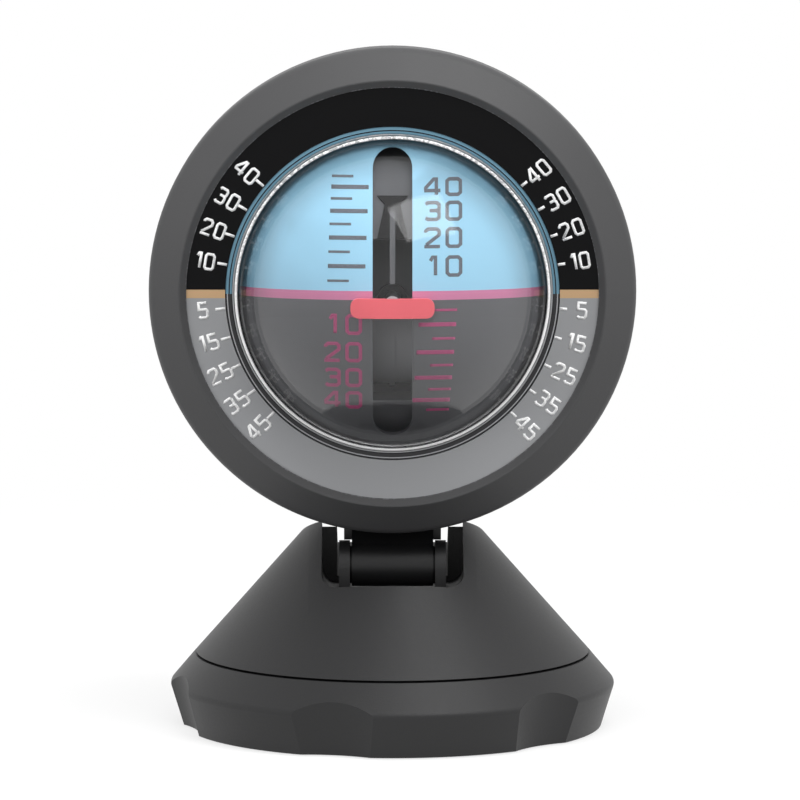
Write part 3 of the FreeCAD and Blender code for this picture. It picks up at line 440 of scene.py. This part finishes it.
def pen_work(lines, stroke):
    """Draws lines with one pen, flat in XY, as one mesh."""
    pen = bpy.data.curves.new("pen", "CURVE")
    spline = pen.splines.new("POLY")
    spline.points.add(1)
    spline.points[0].co = (-stroke / 2, 0, 0, 1)
    spline.points[1].co = (stroke / 2, 0, 0, 1)
    nib = bpy.data.objects.new("nib", pen)
    bpy.context.collection.objects.link(nib)

    drawn = bpy.data.curves.new("print", "CURVE")
    drawn.dimensions = "2D"
    drawn.fill_mode = "NONE"
    for line in lines:
        closed = line[0] == line[-1]
        corners = line[:-1] if closed else line
        spline = drawn.splines.new("POLY")
        spline.points.add(len(corners) - 1)
        for point, (x, y) in zip(spline.points, corners):
            point.co = (x, y, 0, 1)
        spline.use_cyclic_u = closed
    drawn.bevel_mode = "OBJECT"
    drawn.bevel_object = nib
    made = bpy.data.objects.new("print", drawn)
    bpy.context.collection.objects.link(made)
    only(made)
    bpy.ops.object.convert(target="MESH")
    bpy.data.objects.remove(nib)
    return latest("print")


def moved(lines, turn, across, up):
    """Lines turned about their middle and then moved."""
    cos, sin = math.cos(turn), math.sin(turn)
    return [[(x * cos - y * sin + across, x * sin + y * cos + up) for x, y in line] for line in lines]


# Dial

def dial_marks(settings):
    """Ticks and numbers, white, on both sides of the ring."""
    under, over = [], []
    for degrees in (40, 30, 20, 10, -5, -15, -25, -35, -45):
        for side in (-1, 1):
            turn = side * math.radians(degrees)
            reach = side * settings.label_radius
            first, second = number_lines(str(abs(degrees)), settings.digit_width, settings.digit_height,
                                         settings.digit_gap, settings.stroke, True)
            under += moved(first, turn, reach * math.cos(turn), reach * math.sin(turn))
            over += moved(second, turn, reach * math.cos(turn), reach * math.sin(turn))
            long = settings.tick_left if side < 0 else settings.tick_right
            ends = (settings.hole_radius, settings.hole_radius + long)
            under.append([(side * end * math.cos(turn), side * end * math.sin(turn)) for end in ends])
    layers = []
    for lines, thickness in ((under, INK), (over, THIN_INK)):
        layer = settle(pen_work(lines, settings.stroke), rotation_euler=(math.pi / 2, 0, 0))
        layers.append(thicken(settle(layer, location=(0, DIAL_Y, HEAD_HEIGHT)), thickness))
    return join("dial_numbers", layers)


def dial_sheet(settings):
    """Screen-printed plastic sheet: matt, black above the level bars and grey below them."""
    made, tree, place = new_material("printed_dial_sheet")
    up = above_axis(tree, place)
    above = add_node(tree, "Math", {"operation": "GREATER_THAN"}, i0=up, i1=0.0)
    halves = add_node(tree, "Mix", COLOURS, give=2, i0=above, i6=settings.lower, i7=settings.upper)
    in_bar = between(tree, up, -settings.bar_half, settings.bar_half)
    tone = add_node(tree, "Mix", COLOURS, give=2, i0=in_bar, i6=halves, i7=settings.bar)
    grain = add_node(tree, "TexNoise", Vector=place, Scale=1 / (0.3 * MM), Detail=2.0)
    bump = add_node(tree, "Bump", Strength=0.1, Distance=0.02 * MM, Height=grain)
    shader = add_node(tree, "BsdfPrincipled", Base_Color=tone, Roughness=0.5, Specular_IOR_Level=0.1,
                      Normal=bump, IOR=1.5)
    add_node(tree, "OutputMaterial", Surface=shader)
    return made


class PrintDial(bpy.types.Operator):
    """Prints the roll scale: ticks, numbers and the two-tone ring with its level bars"""
    bl_idname = "inclinometer.print_dial"
    bl_label = "Print dial"

    def execute(self, context):
        settings = context.scene.dial_print
        hand_over(dial_marks(settings), ink_material("white_screen_ink", settings.ink), "head", "dial_print")
        dress(dial_sheet(settings), "dial_ring")
        return {"FINISHED"}


# Ball

def lay_on_ball(flat, radius, thickness):
    """Lays a flat upright shape onto a sphere about the ball's middle, as seen from the front."""
    with_modifier(flat, "SUBSURF", subdivision_type="SIMPLE", levels=3, render_levels=3)
    bpy.ops.mesh.primitive_uv_sphere_add(segments=128, ring_count=64, radius=radius)
    guide = latest("guide")
    with_modifier(flat, "SHRINKWRAP", target=guide, wrap_method="PROJECT", use_project_y=True,
                  use_positive_direction=True, use_negative_direction=True)
    bpy.data.objects.remove(guide)
    return thicken(flat, thickness)


def ball_marks(settings, sky):
    """The bars and numbers of one half of the ball, drawn flat in front of it and then laid on it. The
    bars' outer ends come in towards the last of them, and the numbers end level on the right."""
    side = -1 if sky else 1
    bars, outer, come_in = 9, 8.75 * MM, (0.65 if sky else 1.2) * MM
    numbers_end = (9.3 if sky else -4.05) * MM
    short_bar = settings.short_bar * (0.94 if sky else 1.0)
    thin, thick, under, over = [], [], [], []
    for step in range(1, bars + 1):
        lift = math.radians(5 * step) * settings.step_stretch
        height = -side * BALL_R * math.sin(lift)
        short = step % 2
        wide = short_bar if short else settings.long_bar
        edge = outer - come_in * step / bars
        (thin if short else thick).append([(side * (edge - wide), height), (side * edge, height)])
        if short:
            continue
        first, second = number_lines("%d0" % (step // 2), settings.digit_width,
                                     settings.digit_height * math.cos(lift) ** 0.5, settings.digit_gap,
                                     settings.stroke, False)
        middle = numbers_end - settings.digit_width - settings.digit_gap / 2
        under += moved(first, 0, middle, height)
        over += moved(second, 0, middle, height)

    layers = []
    for lines, pen, thickness in ((thin, settings.thin, INK), (thick, settings.thick, INK),
                                  (under, settings.stroke, INK), (over, settings.stroke, THIN_INK)):
        layer = settle(pen_work(lines, pen), rotation_euler=(math.pi / 2, 0, 0))
        layers.append(lay_on_ball(settle(layer, location=(0, IN_FRONT, 0)), BALL_R, thickness))
    marks = join("ball_marks_sky" if sky else "ball_marks_ground", layers)
    return settle(marks, rotation_euler=(-settings.rest_pitch, 0, 0), location=(0, BALL_Y, HEAD_HEIGHT))


def ball_paint(name, base, settings, inside):
    """Sprayed ABS: smooth and evenly coloured, with a satin shine. The horizon is printed on it, and the
    ball's inside is bare."""
    made, tree, place = new_material(name)
    lean, paint_deep = settings.rest_pitch, 0.4 * MM
    about = add_node(tree, "VectorMath", MINUS, i0=place, i1=(0, BALL_Y, HEAD_HEIGHT))
    up = add_node(tree, "VectorMath", {"operation": "DOT_PRODUCT"}, give="Value", i0=about,
                  i1=(0, math.sin(lean), math.cos(lean)))
    band = between(tree, up, -settings.band_half, settings.band_half)
    tone = add_node(tree, "Mix", COLOURS, give=2, i0=band, i6=base, i7=settings.horizon)
    away = add_node(tree, "VectorMath", {"operation": "LENGTH"}, give="Value", i0=about)
    bare = add_node(tree, "Math", {"operation": "LESS_THAN"}, i0=away, i1=BALL_R - paint_deep)
    tone = add_node(tree, "Mix", COLOURS, give=2, i0=bare, i6=tone, i7=inside)
    grain = add_node(tree, "TexNoise", Vector=place, Scale=1 / (1.2 * MM), Detail=1.0)
    bump = add_node(tree, "Bump", Strength=0.04, Distance=0.01 * MM, Height=grain)
    shader = add_node(tree, "BsdfPrincipled", Base_Color=tone, Roughness=0.45, Specular_IOR_Level=0.3,
                      Normal=bump, IOR=1.49)
    add_node(tree, "OutputMaterial", Surface=shader)
    return made


class PrintBall(bpy.types.Operator):
    """Prints the pitch marks on the ball and colours its two halves"""
    bl_idname = "inclinometer.print_ball"
    bl_label = "Print ball"

    def execute(self, context):
        settings = context.scene.ball_print
        inside = context.scene.capsule_look.inside
        hand_over(ball_marks(settings, True), ink_material("ball_ink_grey", settings.sky_ink),
                  "horizon_ball", "sky_blue")
        hand_over(ball_marks(settings, False), ink_material("ball_ink_magenta", settings.ground_ink),
                  "horizon_ball", "ground_grey")
        dress(ball_paint("sky_blue_paint", settings.sky, settings, inside), "ball_upper_shell")
        dress(ball_paint("ground_grey_paint", settings.ground, settings, inside), "ball_lower_shell")
        return {"FINISHED"}


# Capsule

def dome_glass(settings):
    """A hollow cap with a rounded foot and a flange that reaches under the dial."""
    under_dial, foot_bend = 0.5 * MM, 0.35 * MM
    foot_y = DIAL_Y + under_dial
    bpy.ops.mesh.primitive_uv_sphere_add(segments=256, ring_count=128, radius=settings.dome_radius,
                                         location=(0, DOME_CENTRE_Y, HEAD_HEIGHT),
                                         rotation=(math.pi / 2, 0, 0))
    made = settle(latest("dome_glass"))
    edit(made)
    bpy.ops.mesh.bisect(plane_co=(0, foot_y, 0), plane_no=(0, 1, 0), clear_outer=True)
    bpy.ops.mesh.extrude_edges_move()
    foot_radius = math.sqrt(settings.dome_radius ** 2 - (DOME_CENTRE_Y - foot_y) ** 2)
    grow = settings.flange_radius / foot_radius
    bpy.ops.transform.resize(value=(grow, 1, grow), center_override=(0, foot_y, HEAD_HEIGHT))
    done()
    pick_edges(made, lambda spot: abs(spot.y - foot_y) < 0.01 * MM
               and math.hypot(spot.x, spot.z - HEAD_HEIGHT) < foot_radius + 0.1 * MM)
    bpy.ops.mesh.bevel(offset=foot_bend, segments=6, affect="EDGES")
    done()
    clean_normals(made)
    return smooth(with_modifier(made, "SOLIDIFY", thickness=settings.dome_wall, offset=-1.0), 60)


def clear_acrylic(settings):
    """Polished acrylic, clear as glass, with soft surface waves. The oil behind it hides its inner face, so
    its IOR is lower than acrylic's 1.49. Towards the rim its colour is darkened as painted shade, for the
    ball's dim edge, most of all above, where the bezel's shadow falls. Lamps pass it to light the ball."""
    made, tree, place = new_material("clear_acrylic")
    waves = add_node(tree, "TexNoise", Vector=place, Scale=1 / (9 * MM), Detail=1.0)
    bump = add_node(tree, "Bump", Strength=0.03, Distance=0.05 * MM, Height=waves)
    rim = add_node(tree, "MapRange", SMOOTH, Value=off_axis(tree, place), From_Min=15 * MM,
                   From_Max=22.4 * MM)
    most = add_node(tree, "MapRange", Value=above_axis(tree, place), From_Min=-6 * MM, From_Max=2 * MM,
                    To_Min=0.4, To_Max=0.6)
    share = add_node(tree, "Math", TIMES, i0=rim, i1=most)
    tint = add_node(tree, "Mix", COLOURS, give=2, i0=share, i6="#FAFAFB", i7=settings.rim_shade)
    body = add_node(tree, "BsdfPrincipled", Base_Color=tint, Roughness=0.0, IOR=1.33,
                    Transmission_Weight=1.0, Normal=bump)
    clear = add_node(tree, "BsdfTransparent", Color="#FAFAFB")
    lamp = add_node(tree, "LightPath", give="Is Shadow Ray")
    add_node(tree, "OutputMaterial", Surface=add_node(tree, "MixShader", i0=lamp, i1=body, i2=clear))
    return made


def foot_ring(name, radius, half_width, proud):
    """A rounded ring at the dome's foot."""
    bpy.ops.mesh.primitive_circle_add(vertices=20, radius=half_width,
                                      location=(radius, DIAL_Y - proud, HEAD_HEIGHT))
    return spin_about(settle(latest(name)), (0, 0, HEAD_HEIGHT), (0, 1, 0), 360, 240)


def acrylic_bead(name, bright, dull, speck):
    """Acrylic where it thickens into a bead, coloured as a painted highlight: pale for the light it gathers,
    and above, a painted glitter of duller specks.
    """
    made, tree, place = new_material(name)
    specks = add_node(tree, "TexNoise", Vector=place, Scale=1 / speck, Detail=3.0)
    upper = add_node(tree, "MapRange", Value=above_axis(tree, place), From_Min=-4 * MM, From_Max=12 * MM)
    patchy = add_node(tree, "MapRange", Value=specks, From_Min=0.42, From_Max=0.58)
    share = add_node(tree, "Math", TIMES, i0=patchy, i1=upper)
    tone = add_node(tree, "Mix", COLOURS, give=2, i0=share, i6=bright, i7=dull)
    bump = add_node(tree, "Bump", Strength=0.4, Distance=0.05 * MM, Height=specks)
    body = add_node(tree, "BsdfPrincipled", Base_Color=tone, Roughness=0.35, IOR=1.49, Normal=bump)
    add_node(tree, "OutputMaterial", Surface=body)
    return made


def edge_band(name, settings, start):
    """A half ring outside the bead, for the band where the dome's edge shows the ball's colour; its material
    paints that colour on, as a painted reflection.
    """
    low, high = settings.edge_inner, settings.edge_outer
    deep, sunk, corner = 0.4 * MM, 0.3 * MM, 0.08 * MM
    bpy.ops.mesh.primitive_plane_add(size=1.0)
    made = settle(latest(name), scale=(high - low, deep, 1))
    settle(made, location=((low + high) / 2, DIAL_Y + sunk, 0))
    edit(made)
    bpy.ops.mesh.bevel(offset=corner, segments=3, affect="VERTICES")
    done()
    settle(made, rotation_euler=(0, math.radians(start), 0))
    settle(made, location=(0, 0, HEAD_HEIGHT))
    return spin_about(made, (0, 0, HEAD_HEIGHT), (0, 1, 0), 180, 120)


def edge_plastic(name, base, line, low, high):
    """Clear acrylic's edge, as a painted reflection of the ball's colour, with a painted line along it:
    darker as painted shadow or paler as painted highlight where a groove would run.
    """
    def groove(tree, place):
        return between(tree, off_axis(tree, place), low, high)
    return moulded_plastic(name, base, 0.5 * MM, 0.25, 0.1, 0.3, [(line, groove)])


def gimbal_strap():
    """The strap that arches over the drum, close inside the ball, and the post that it stands on."""
    near, far, wide, edge_round = 19.05 * MM, 19.55 * MM, 6.8 * MM, 0.12 * MM
    rise, reach = math.radians(25), 70
    post_radius, post_long, post_middle, post_round = 1.2 * MM, 7.0 * MM, 15.8 * MM, 0.2 * MM
    bpy.ops.mesh.primitive_plane_add(size=1.0)
    made = settle(latest("gimbal_strap"), scale=(wide, far - near, 1))
    middle = (near + far) / 2
    settle(made, rotation_euler=(-rise, 0, 0),
           location=(0, BALL_Y - middle * math.cos(rise), HEAD_HEIGHT + middle * math.sin(rise)))
    spin_about(made, (0, BALL_Y, HEAD_HEIGHT), (1, 0, 0), reach, 28)
    with_modifier(made, "BEVEL", width=edge_round, segments=2)
    bpy.ops.mesh.primitive_cylinder_add(vertices=40, radius=post_radius, depth=post_long)
    post = settle(latest("post"), location=(0, BALL_Y, HEAD_HEIGHT + post_middle))
    pick_edges(post, lambda spot: spot.z < HEAD_HEIGHT + post_middle)
    bpy.ops.mesh.bevel(offset=post_round, segments=2, affect="EDGES")
    done()
    return smooth(join("gimbal_strap", [made, post]))


def lay_in_ball(flat, radius):
    """Lays a flat shape, drawn in XY, onto a sphere just inside the ball and puts it in its place."""
    settle(flat, rotation_euler=(math.pi / 2, 0, 0), location=(0, IN_FRONT, 0))
    lay_on_ball(flat, radius, 0.3 * MM)
    return smooth(settle(flat, location=(0, BALL_Y, HEAD_HEIGHT)))


def gimbal_stop():
    """The waisted black stop in front of the strap, that shows in the upper slot."""
    foot, waist, top, wide, waist_share = 8.3 * MM, 12.7 * MM, 13.7 * MM, 4.1 * MM, 0.5
    bpy.ops.mesh.primitive_plane_add(size=1.0)
    made = settle(latest("gimbal_stop"), scale=(wide, waist - foot, 1))
    settle(made, location=(0, (foot + waist) / 2, 0))
    pick_edges(made, lambda spot: spot.y > (foot + waist) / 2)
    bpy.ops.transform.resize(value=(waist_share, 1, 1), center_override=(0, 0, 0))
    bpy.ops.mesh.extrude_edges_move(TRANSFORM_OT_translate={"value": (0, top - waist, 0)})
    bpy.ops.transform.resize(value=(1 / waist_share, 1, 1), center_override=(0, 0, 0))
    done()
    return lay_in_ball(made, 19.75 * MM)


def gimbal_rib():
    """The pale rib down the front of the drum, below the stop."""
    wide, high, middle = 0.72 * MM, 9.4 * MM, 7.1 * MM
    bpy.ops.mesh.primitive_plane_add(size=1.0)
    made = settle(latest("gimbal_rib"), scale=(wide, high, 1))
    return lay_in_ball(settle(made, location=(0, middle, 0)), 19.9 * MM)


class BuildCapsule(bpy.types.Operator):
    """Makes the clear dome with its bright foot, and finishes what shows through it"""
    bl_idname = "inclinometer.build_capsule"
    bl_label = "Build capsule"

    def execute(self, context):
        settings = context.scene.capsule_look
        hand_over(dome_glass(settings), clear_acrylic(settings), "head", "clear_acrylic", "front_dome")
        # The bead's and the step's pale colours are painted highlights, for the light that the dome's foot
        # catches.
        hand_over(foot_ring("dome_bead", settings.foot_radius, settings.foot_round, 0.2 * MM),
                  acrylic_bead("acrylic_bead", "#FFFFFF", "#A6A7A9", 0.35 * MM), "head", "clear_acrylic")
        hand_over(foot_ring("dome_step", settings.step_radius, settings.step_round, 0.02 * MM),
                  acrylic_bead("acrylic_step", "#98999B", "#7D8A92", 0.5 * MM), "head", "clear_acrylic")

        # Painted reflection: the bands paint what the dome's clear edge shows of the ball, blue above and
        # near black below, so they roll with the ball.
        hand_over(edge_band("edge_band_sky", settings, 0),
                  edge_plastic("sky_edge_acrylic", settings.sky_edge, settings.edge_line,
                               22.25 * MM, 22.42 * MM), "roll_gimbal", "sky_blue")
        hand_over(edge_band("edge_band_ground", settings, 180),
                  edge_plastic("ground_edge_acrylic", settings.ground_edge, "#A2A3A6",
                               22.5 * MM, 22.64 * MM), "roll_gimbal", "ground_grey")

        # Acetal: greasy-looking, dark and evenly rough. The drum's underside is painted pale, a painted
        # highlight for the light from below.
        def underside(tree, place):
            return add_node(tree, "MapRange", SMOOTH, Value=above_axis(tree, place), From_Min=0.5 * MM,
                            From_Max=-2 * MM)
        dress(moulded_plastic("gimbal_grey_acetal", settings.drum, 0.4 * MM, 0.5, 0.15, 0.3,
                              [(settings.drum_low, underside)]), "gimbal_drum")
        strap = moulded_plastic("strap_grey_acetal", settings.strap, 0.4 * MM, 0.5, 0.15, 0.3)
        hand_over(gimbal_strap(), strap, "roll_gimbal", "gimbal_grey")
        hand_over(gimbal_rib(), strap, "roll_gimbal", "gimbal_grey")
        hand_over(gimbal_stop(), moulded_plastic("stop_black_acetal", "#0B0B0C", 0.4 * MM, 0.6, 0.15, 0.2),
                  "roll_gimbal", "gimbal_grey")
        # The shaft collars are coloured black as painted shade, for the dark around the hub above the index
        # bar.
        dress(moulded_plastic("collar_painted_shade_black", "#101011", 0.4 * MM, 0.5, 0.1, 0.3), "shaft_collars")
        # Gloss ABS in its own colour: even, with soft highlights.
        dress(moulded_plastic("index_red_abs", settings.bar, 0.4 * MM, 0.4, 0.05, 0.3), "index_bar")
        dress(moulded_plastic("bowl_black_abs", "#0C0C0D", 0.6 * MM, 0.3, 0.1, 0.3), "rear_bowl")
        # Nitrile rubber: black and quite dull.
        dress(moulded_plastic("seal_black_rubber", "#0B0B0B", 0.4 * MM, 0.8, 0.3, 0.2), "capsule_seal",
              "filler_plug")
        return {"FINISHED"}


# Body

def pan_screw(settings):
    """A pan-head screw with a cross recess, its seat in XY at the origin and its head up."""
    tall, arm_wide, arm_taper = settings.screw_height, 0.42 * MM, (0.5, 0.6, 1)
    bpy.ops.mesh.primitive_cylinder_add(vertices=48, radius=settings.screw_radius, depth=tall,
                                        location=(0, 0, tall / 2))
    head = settle(latest("screw"))
    pick_edges(head, lambda spot: spot.z > tall / 2)
    bpy.ops.mesh.bevel(offset=tall * 0.45, segments=5, affect="EDGES")
    done()
    for turn in (0, math.pi / 2):
        bpy.ops.mesh.primitive_cube_add(size=1.0, location=(0, 0, tall))
        arm = settle(latest("arm"), scale=(2 * settings.recess, arm_wide, tall))
        pick_edges(arm, lambda spot: spot.z < tall)
        bpy.ops.transform.resize(value=arm_taper, center_override=(0, 0, 0))
        done()
        settle(arm, rotation_euler=(0, 0, turn))
        with_modifier(head, "BOOLEAN", operation="DIFFERENCE", object=arm, solver="EXACT")
        bpy.data.objects.remove(arm)
    return head


def rear_screws(settings):
    """Four pan-head screws in the housing's wells, copied from one and each turned differently."""
    low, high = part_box("housing_screws")
    shank_radius, into_head, first_turn, next_turn = 0.9 * MM, 0.2 * MM, 23, 67
    seat_y = high[1] - settings.screw_height
    ring = (high[0] - settings.screw_radius) * math.sqrt(2)
    shank_long = high[1] - low[1] - 1.5 * MM
    head = pan_screw(settings)
    bpy.ops.mesh.primitive_cylinder_add(vertices=32, radius=shank_radius, depth=shank_long,
                                        location=(0, 0, into_head - shank_long / 2))
    one = join("screw", [settle(latest("shank")), head])
    screws = []
    for place in range(4):
        only(one)
        bpy.ops.object.duplicate()
        screw = settle(latest("screw_copy"),
                       rotation_euler=(0, 0, math.radians(first_turn + next_turn * place)))
        turn = math.radians(45 + 90 * place)
        screws.append(settle(screw, rotation_euler=(-math.pi / 2, 0, 0),
                             location=(ring * math.cos(turn), seat_y, HEAD_HEIGHT + ring * math.sin(turn))))
    bpy.data.objects.remove(one)
    return smooth(clean_normals(join("pan_head_screws", screws)))


class FinishBody(bpy.types.Operator):
    """Finishes the moulded head, cone and ring, and makes the rear screws"""
    bl_idname = "inclinometer.finish_body"
    bl_label = "Finish body"

    def execute(self, context):
        settings = context.scene.body_look

        # Spark-eroded ABS: the mould's fine grain makes it matt, so light spreads over it. Its thin lip by
        # the dial has a painted highlight: paler specks on it stand in for the light that the lip catches.
        def rubbed(tree, place):
            specks = add_node(tree, "TexNoise", Vector=place, Scale=1 / (0.3 * MM), Detail=2.0)
            patchy = add_node(tree, "MapRange", Value=specks, From_Min=0.5, From_Max=0.64)
            on_lip = between(tree, off_axis(tree, place), settings.lip_radius - 0.03 * MM,
                             settings.lip_radius + 0.08 * MM)
            return add_node(tree, "Math", TIMES, i0=on_lip, i1=patchy)
        dress(moulded_plastic("bezel_black_abs", settings.head, settings.grain, 0.5, 0.35, 0.45,
                              [("#6B6B6E", rubbed)]), "bezel")

        # The same ABS, with painted shade: its neck and knuckle under the head are painted darker, where the
        # head's shadow falls.
        def neck(tree, place):
            up = add_node(tree, "SeparateXYZ", give="Z", Vector=place)
            return add_node(tree, "MapRange", SMOOTH, Value=up, From_Min=31.5 * MM, From_Max=29.5 * MM)
        dress(moulded_plastic("housing_black_abs", settings.head, settings.grain, 0.5, 0.35, 0.45,
                              [(settings.neck, neck)]), "rear_housing")
        # Spark-eroded ABS again, a little smoother, so that the cone has a soft sheen.
        dress(moulded_plastic("base_charcoal_abs", settings.base, settings.grain, 0.48, 0.35),
              "pedestal", "base_ring")
        # Zinc-plated steel: pale and softly bright.
        dress(plain_metal("zinc_plated_steel", "#B9BABC", 0.32), "base_plate", "base_plate_screws",
              "swivel_screw", "swivel_washer", "roll_shaft", "shaft_nut", "pitch_pins")
        # Blackened steel: a dark oxide that still shines a little.
        dress(plain_metal("blackened_steel", "#2A2A2B", 0.45), "hinge_pin")
        # Black zinc plating: dark, with a soft shine on the screws' round heads.
        hand_over(rear_screws(settings), plain_metal("black_zinc_steel", "#3A3A3C", 0.35), "head",
                  "plain_steel", "housing_screws")
        # Cut nylon: black, waxy and evenly rough.
        dress(moulded_plastic("washer_black_nylon", "#101011", 0.4 * MM, 0.5, 0.1, 0.3), "friction_washers")
        # Turned brass is warm and bright, and the weight's cast iron is dull and grey.
        dress(plain_metal("turned_brass", "#C7A45A", 0.3), "pivot_bushes")
        dress(plain_metal("cast_weight", "#77787A", 0.6), "ballast_weight")
        # Foam tape: dull black, and the cells that are cut open at its faces show as fine pits.
        dress(moulded_plastic("pad_foam", "#101010", 0.6 * MM, 0.9, 0.6), "adhesive_pad")
        return {"FINISHED"}


# Stage

def seen_rays(tree):
    """1 for rays that show the room, also by a reflection or through glass, and 0 for its light."""
    shares = [add_node(tree, "LightPath", give=kind)
              for kind in ("Is Camera Ray", "Is Glossy Ray", "Is Transmission Ray")]
    seen = shares[0]
    for share in shares[1:]:
        seen = add_node(tree, "Math", {"operation": "MAXIMUM"}, i0=seen, i1=share)
    direct = add_node(tree, "Math", {"operation": "LESS_THAN"}, i1=0.5,
                      i0=add_node(tree, "LightPath", give="Diffuse Depth"))
    return add_node(tree, "Math", TIMES, i0=seen, i1=direct)


def pale_paper(settings):
    """Matt paper: it takes the object's shadow and fades into the white room."""
    made, tree, place = new_material("pale_paper")
    seen = seen_rays(tree)
    shade = add_node(tree, "Mix", COLOURS, give=2, i0=seen, i6=settings.floor_bounce, i7=settings.floor)
    body = add_node(tree, "BsdfDiffuse", Color=shade, Roughness=0.5)
    white = add_node(tree, "Emission", Strength=1.0)
    away = add_node(tree, "VectorMath", {"operation": "LENGTH"}, give="Value", i0=place)
    near = add_node(tree, "MapRange", SMOOTH, Value=away, From_Min=settings.floor_near,
                    From_Max=settings.floor_far, To_Min=1 - settings.floor_share, To_Max=1.0)
    share = add_node(tree, "Math", TIMES, i0=near, i1=seen)
    add_node(tree, "OutputMaterial", Surface=add_node(tree, "MixShader", i0=share, i1=body, i2=white))
    return made


def area_lamp(name, place, size, watts, in_dome=False):
    """A soft lamp that faces the object's middle, and shows in the dome or not."""
    aim_height = 50 * MM
    light = bpy.data.lights.new(name, "AREA")
    light.shape = "RECTANGLE"
    light.size, light.size_y = size
    light.energy = watts
    lamp = bpy.data.objects.new(name, light)
    bpy.context.collection.objects.link(lamp)
    lamp.location = place
    x, y, z = place
    lamp.rotation_euler = (math.atan2(math.hypot(x, y), z - aim_height), 0, math.atan2(-x, y) + math.pi)
    lamp.visible_glossy = lamp.visible_transmission = in_dome


class SetStage(bpy.types.Operator):
    """Sets the floor, the lamps and the camera"""
    bl_idname = "inclinometer.set_stage"
    bl_label = "Set stage"

    def execute(self, context):
        settings = context.scene.stage_look
        bpy.ops.mesh.primitive_plane_add(size=4.0, location=(0, 0, 0))
        floor = latest("floor")
        floor.data.materials.append(pale_paper(settings))

        world = bpy.data.worlds.new("pale_room")
        context.scene.world = world
        world.use_nodes = True
        tree = world.node_tree
        tree.nodes.clear()
        strength = add_node(tree, "MapRange", Value=seen_rays(tree), To_Min=settings.room_light, To_Max=1.0)
        white = add_node(tree, "Background", Color="#FFFFFF", Strength=strength)
        add_node(tree, "OutputWorld", Surface=white)

        # Where each lamp stands and its two sides, in metres.
        area_lamp("key_lamp", (0.25, -0.36, 0.68), (0.5, 0.4), settings.key_light, in_dome=True)
        area_lamp("front_lamp", (-0.2, -0.8, 0.3), (0.4, 0.4), settings.front_light)
        area_lamp("top_lamp", (0.0, -0.1, 0.75), (0.7, 0.5), settings.top_light)
        area_lamp("left_lamp", (-0.65, -0.3, 0.08), (0.3, 0.5), settings.side_light)
        area_lamp("right_lamp", (0.65, -0.3, 0.08), (0.3, 0.5), settings.side_light)

        camera = bpy.data.objects.new("camera", bpy.data.cameras.new("camera"))
        context.collection.objects.link(camera)
        context.scene.camera = camera
        camera.data.lens = camera.data.sensor_width * settings.focal_px / PHOTO_WIDE
        bezel_middle_y = -12 * MM
        camera.location = (0, bezel_middle_y - settings.camera_away * math.cos(settings.camera_up),
                           HEAD_HEIGHT + settings.camera_away * math.sin(settings.camera_up))
        look_down = settings.camera_up + math.atan((PHOTO_WIDE / 2 - HEAD_DOWN) / settings.focal_px)
        camera.rotation_euler = (math.pi / 2 - look_down, 0, 0)
        camera.data.shift_x = (PHOTO_WIDE / 2 - HEAD_ACROSS) / PHOTO_WIDE
        camera.data.clip_start = 0.01
        context.scene.view_settings.view_transform = "Standard"
        return {"FINISHED"}


class SidebarPanel(bpy.types.Panel):
    """Lists the steps in the sidebar"""
    bl_idname = "VIEW3D_PT_inclinometer"
    bl_label = "Inclinometer"
    bl_space_type = "VIEW_3D"
    bl_region_type = "UI"
    bl_category = "Inclinometer"

    def draw(self, context):
        for step in STEPS:
            self.layout.operator(step.bl_idname)
        for group in GROUPS:
            box = self.layout.box()
            settings = getattr(context.scene, group)
            for name in settings.__annotations__:
                box.prop(settings, name)


GROUPS = {"body_look": BodyLook, "dial_print": DialPrint, "ball_print": BallPrint,
          "capsule_look": CapsuleLook, "stage_look": StageLook}
STEPS = (FinishBody, PrintDial, PrintBall, BuildCapsule, SetStage)


def register():
    for name, group in GROUPS.items():
        bpy.utils.register_class(group)
        setattr(bpy.types.Scene, name, PointerProperty(type=group))
    for step in STEPS:
        bpy.utils.register_class(step)
    bpy.utils.register_class(SidebarPanel)


def unregister():
    bpy.utils.unregister_class(SidebarPanel)
    for step in reversed(STEPS):
        bpy.utils.unregister_class(step)
    for name, group in GROUPS.items():
        delattr(bpy.types.Scene, name)
        bpy.utils.unregister_class(group)


def main():
    register()
    bpy.ops.inclinometer.finish_body()
    bpy.ops.inclinometer.print_dial()
    bpy.ops.inclinometer.print_ball()
    bpy.ops.inclinometer.build_capsule()
    bpy.ops.inclinometer.set_stage()


if __name__ == "__main__":
    main()
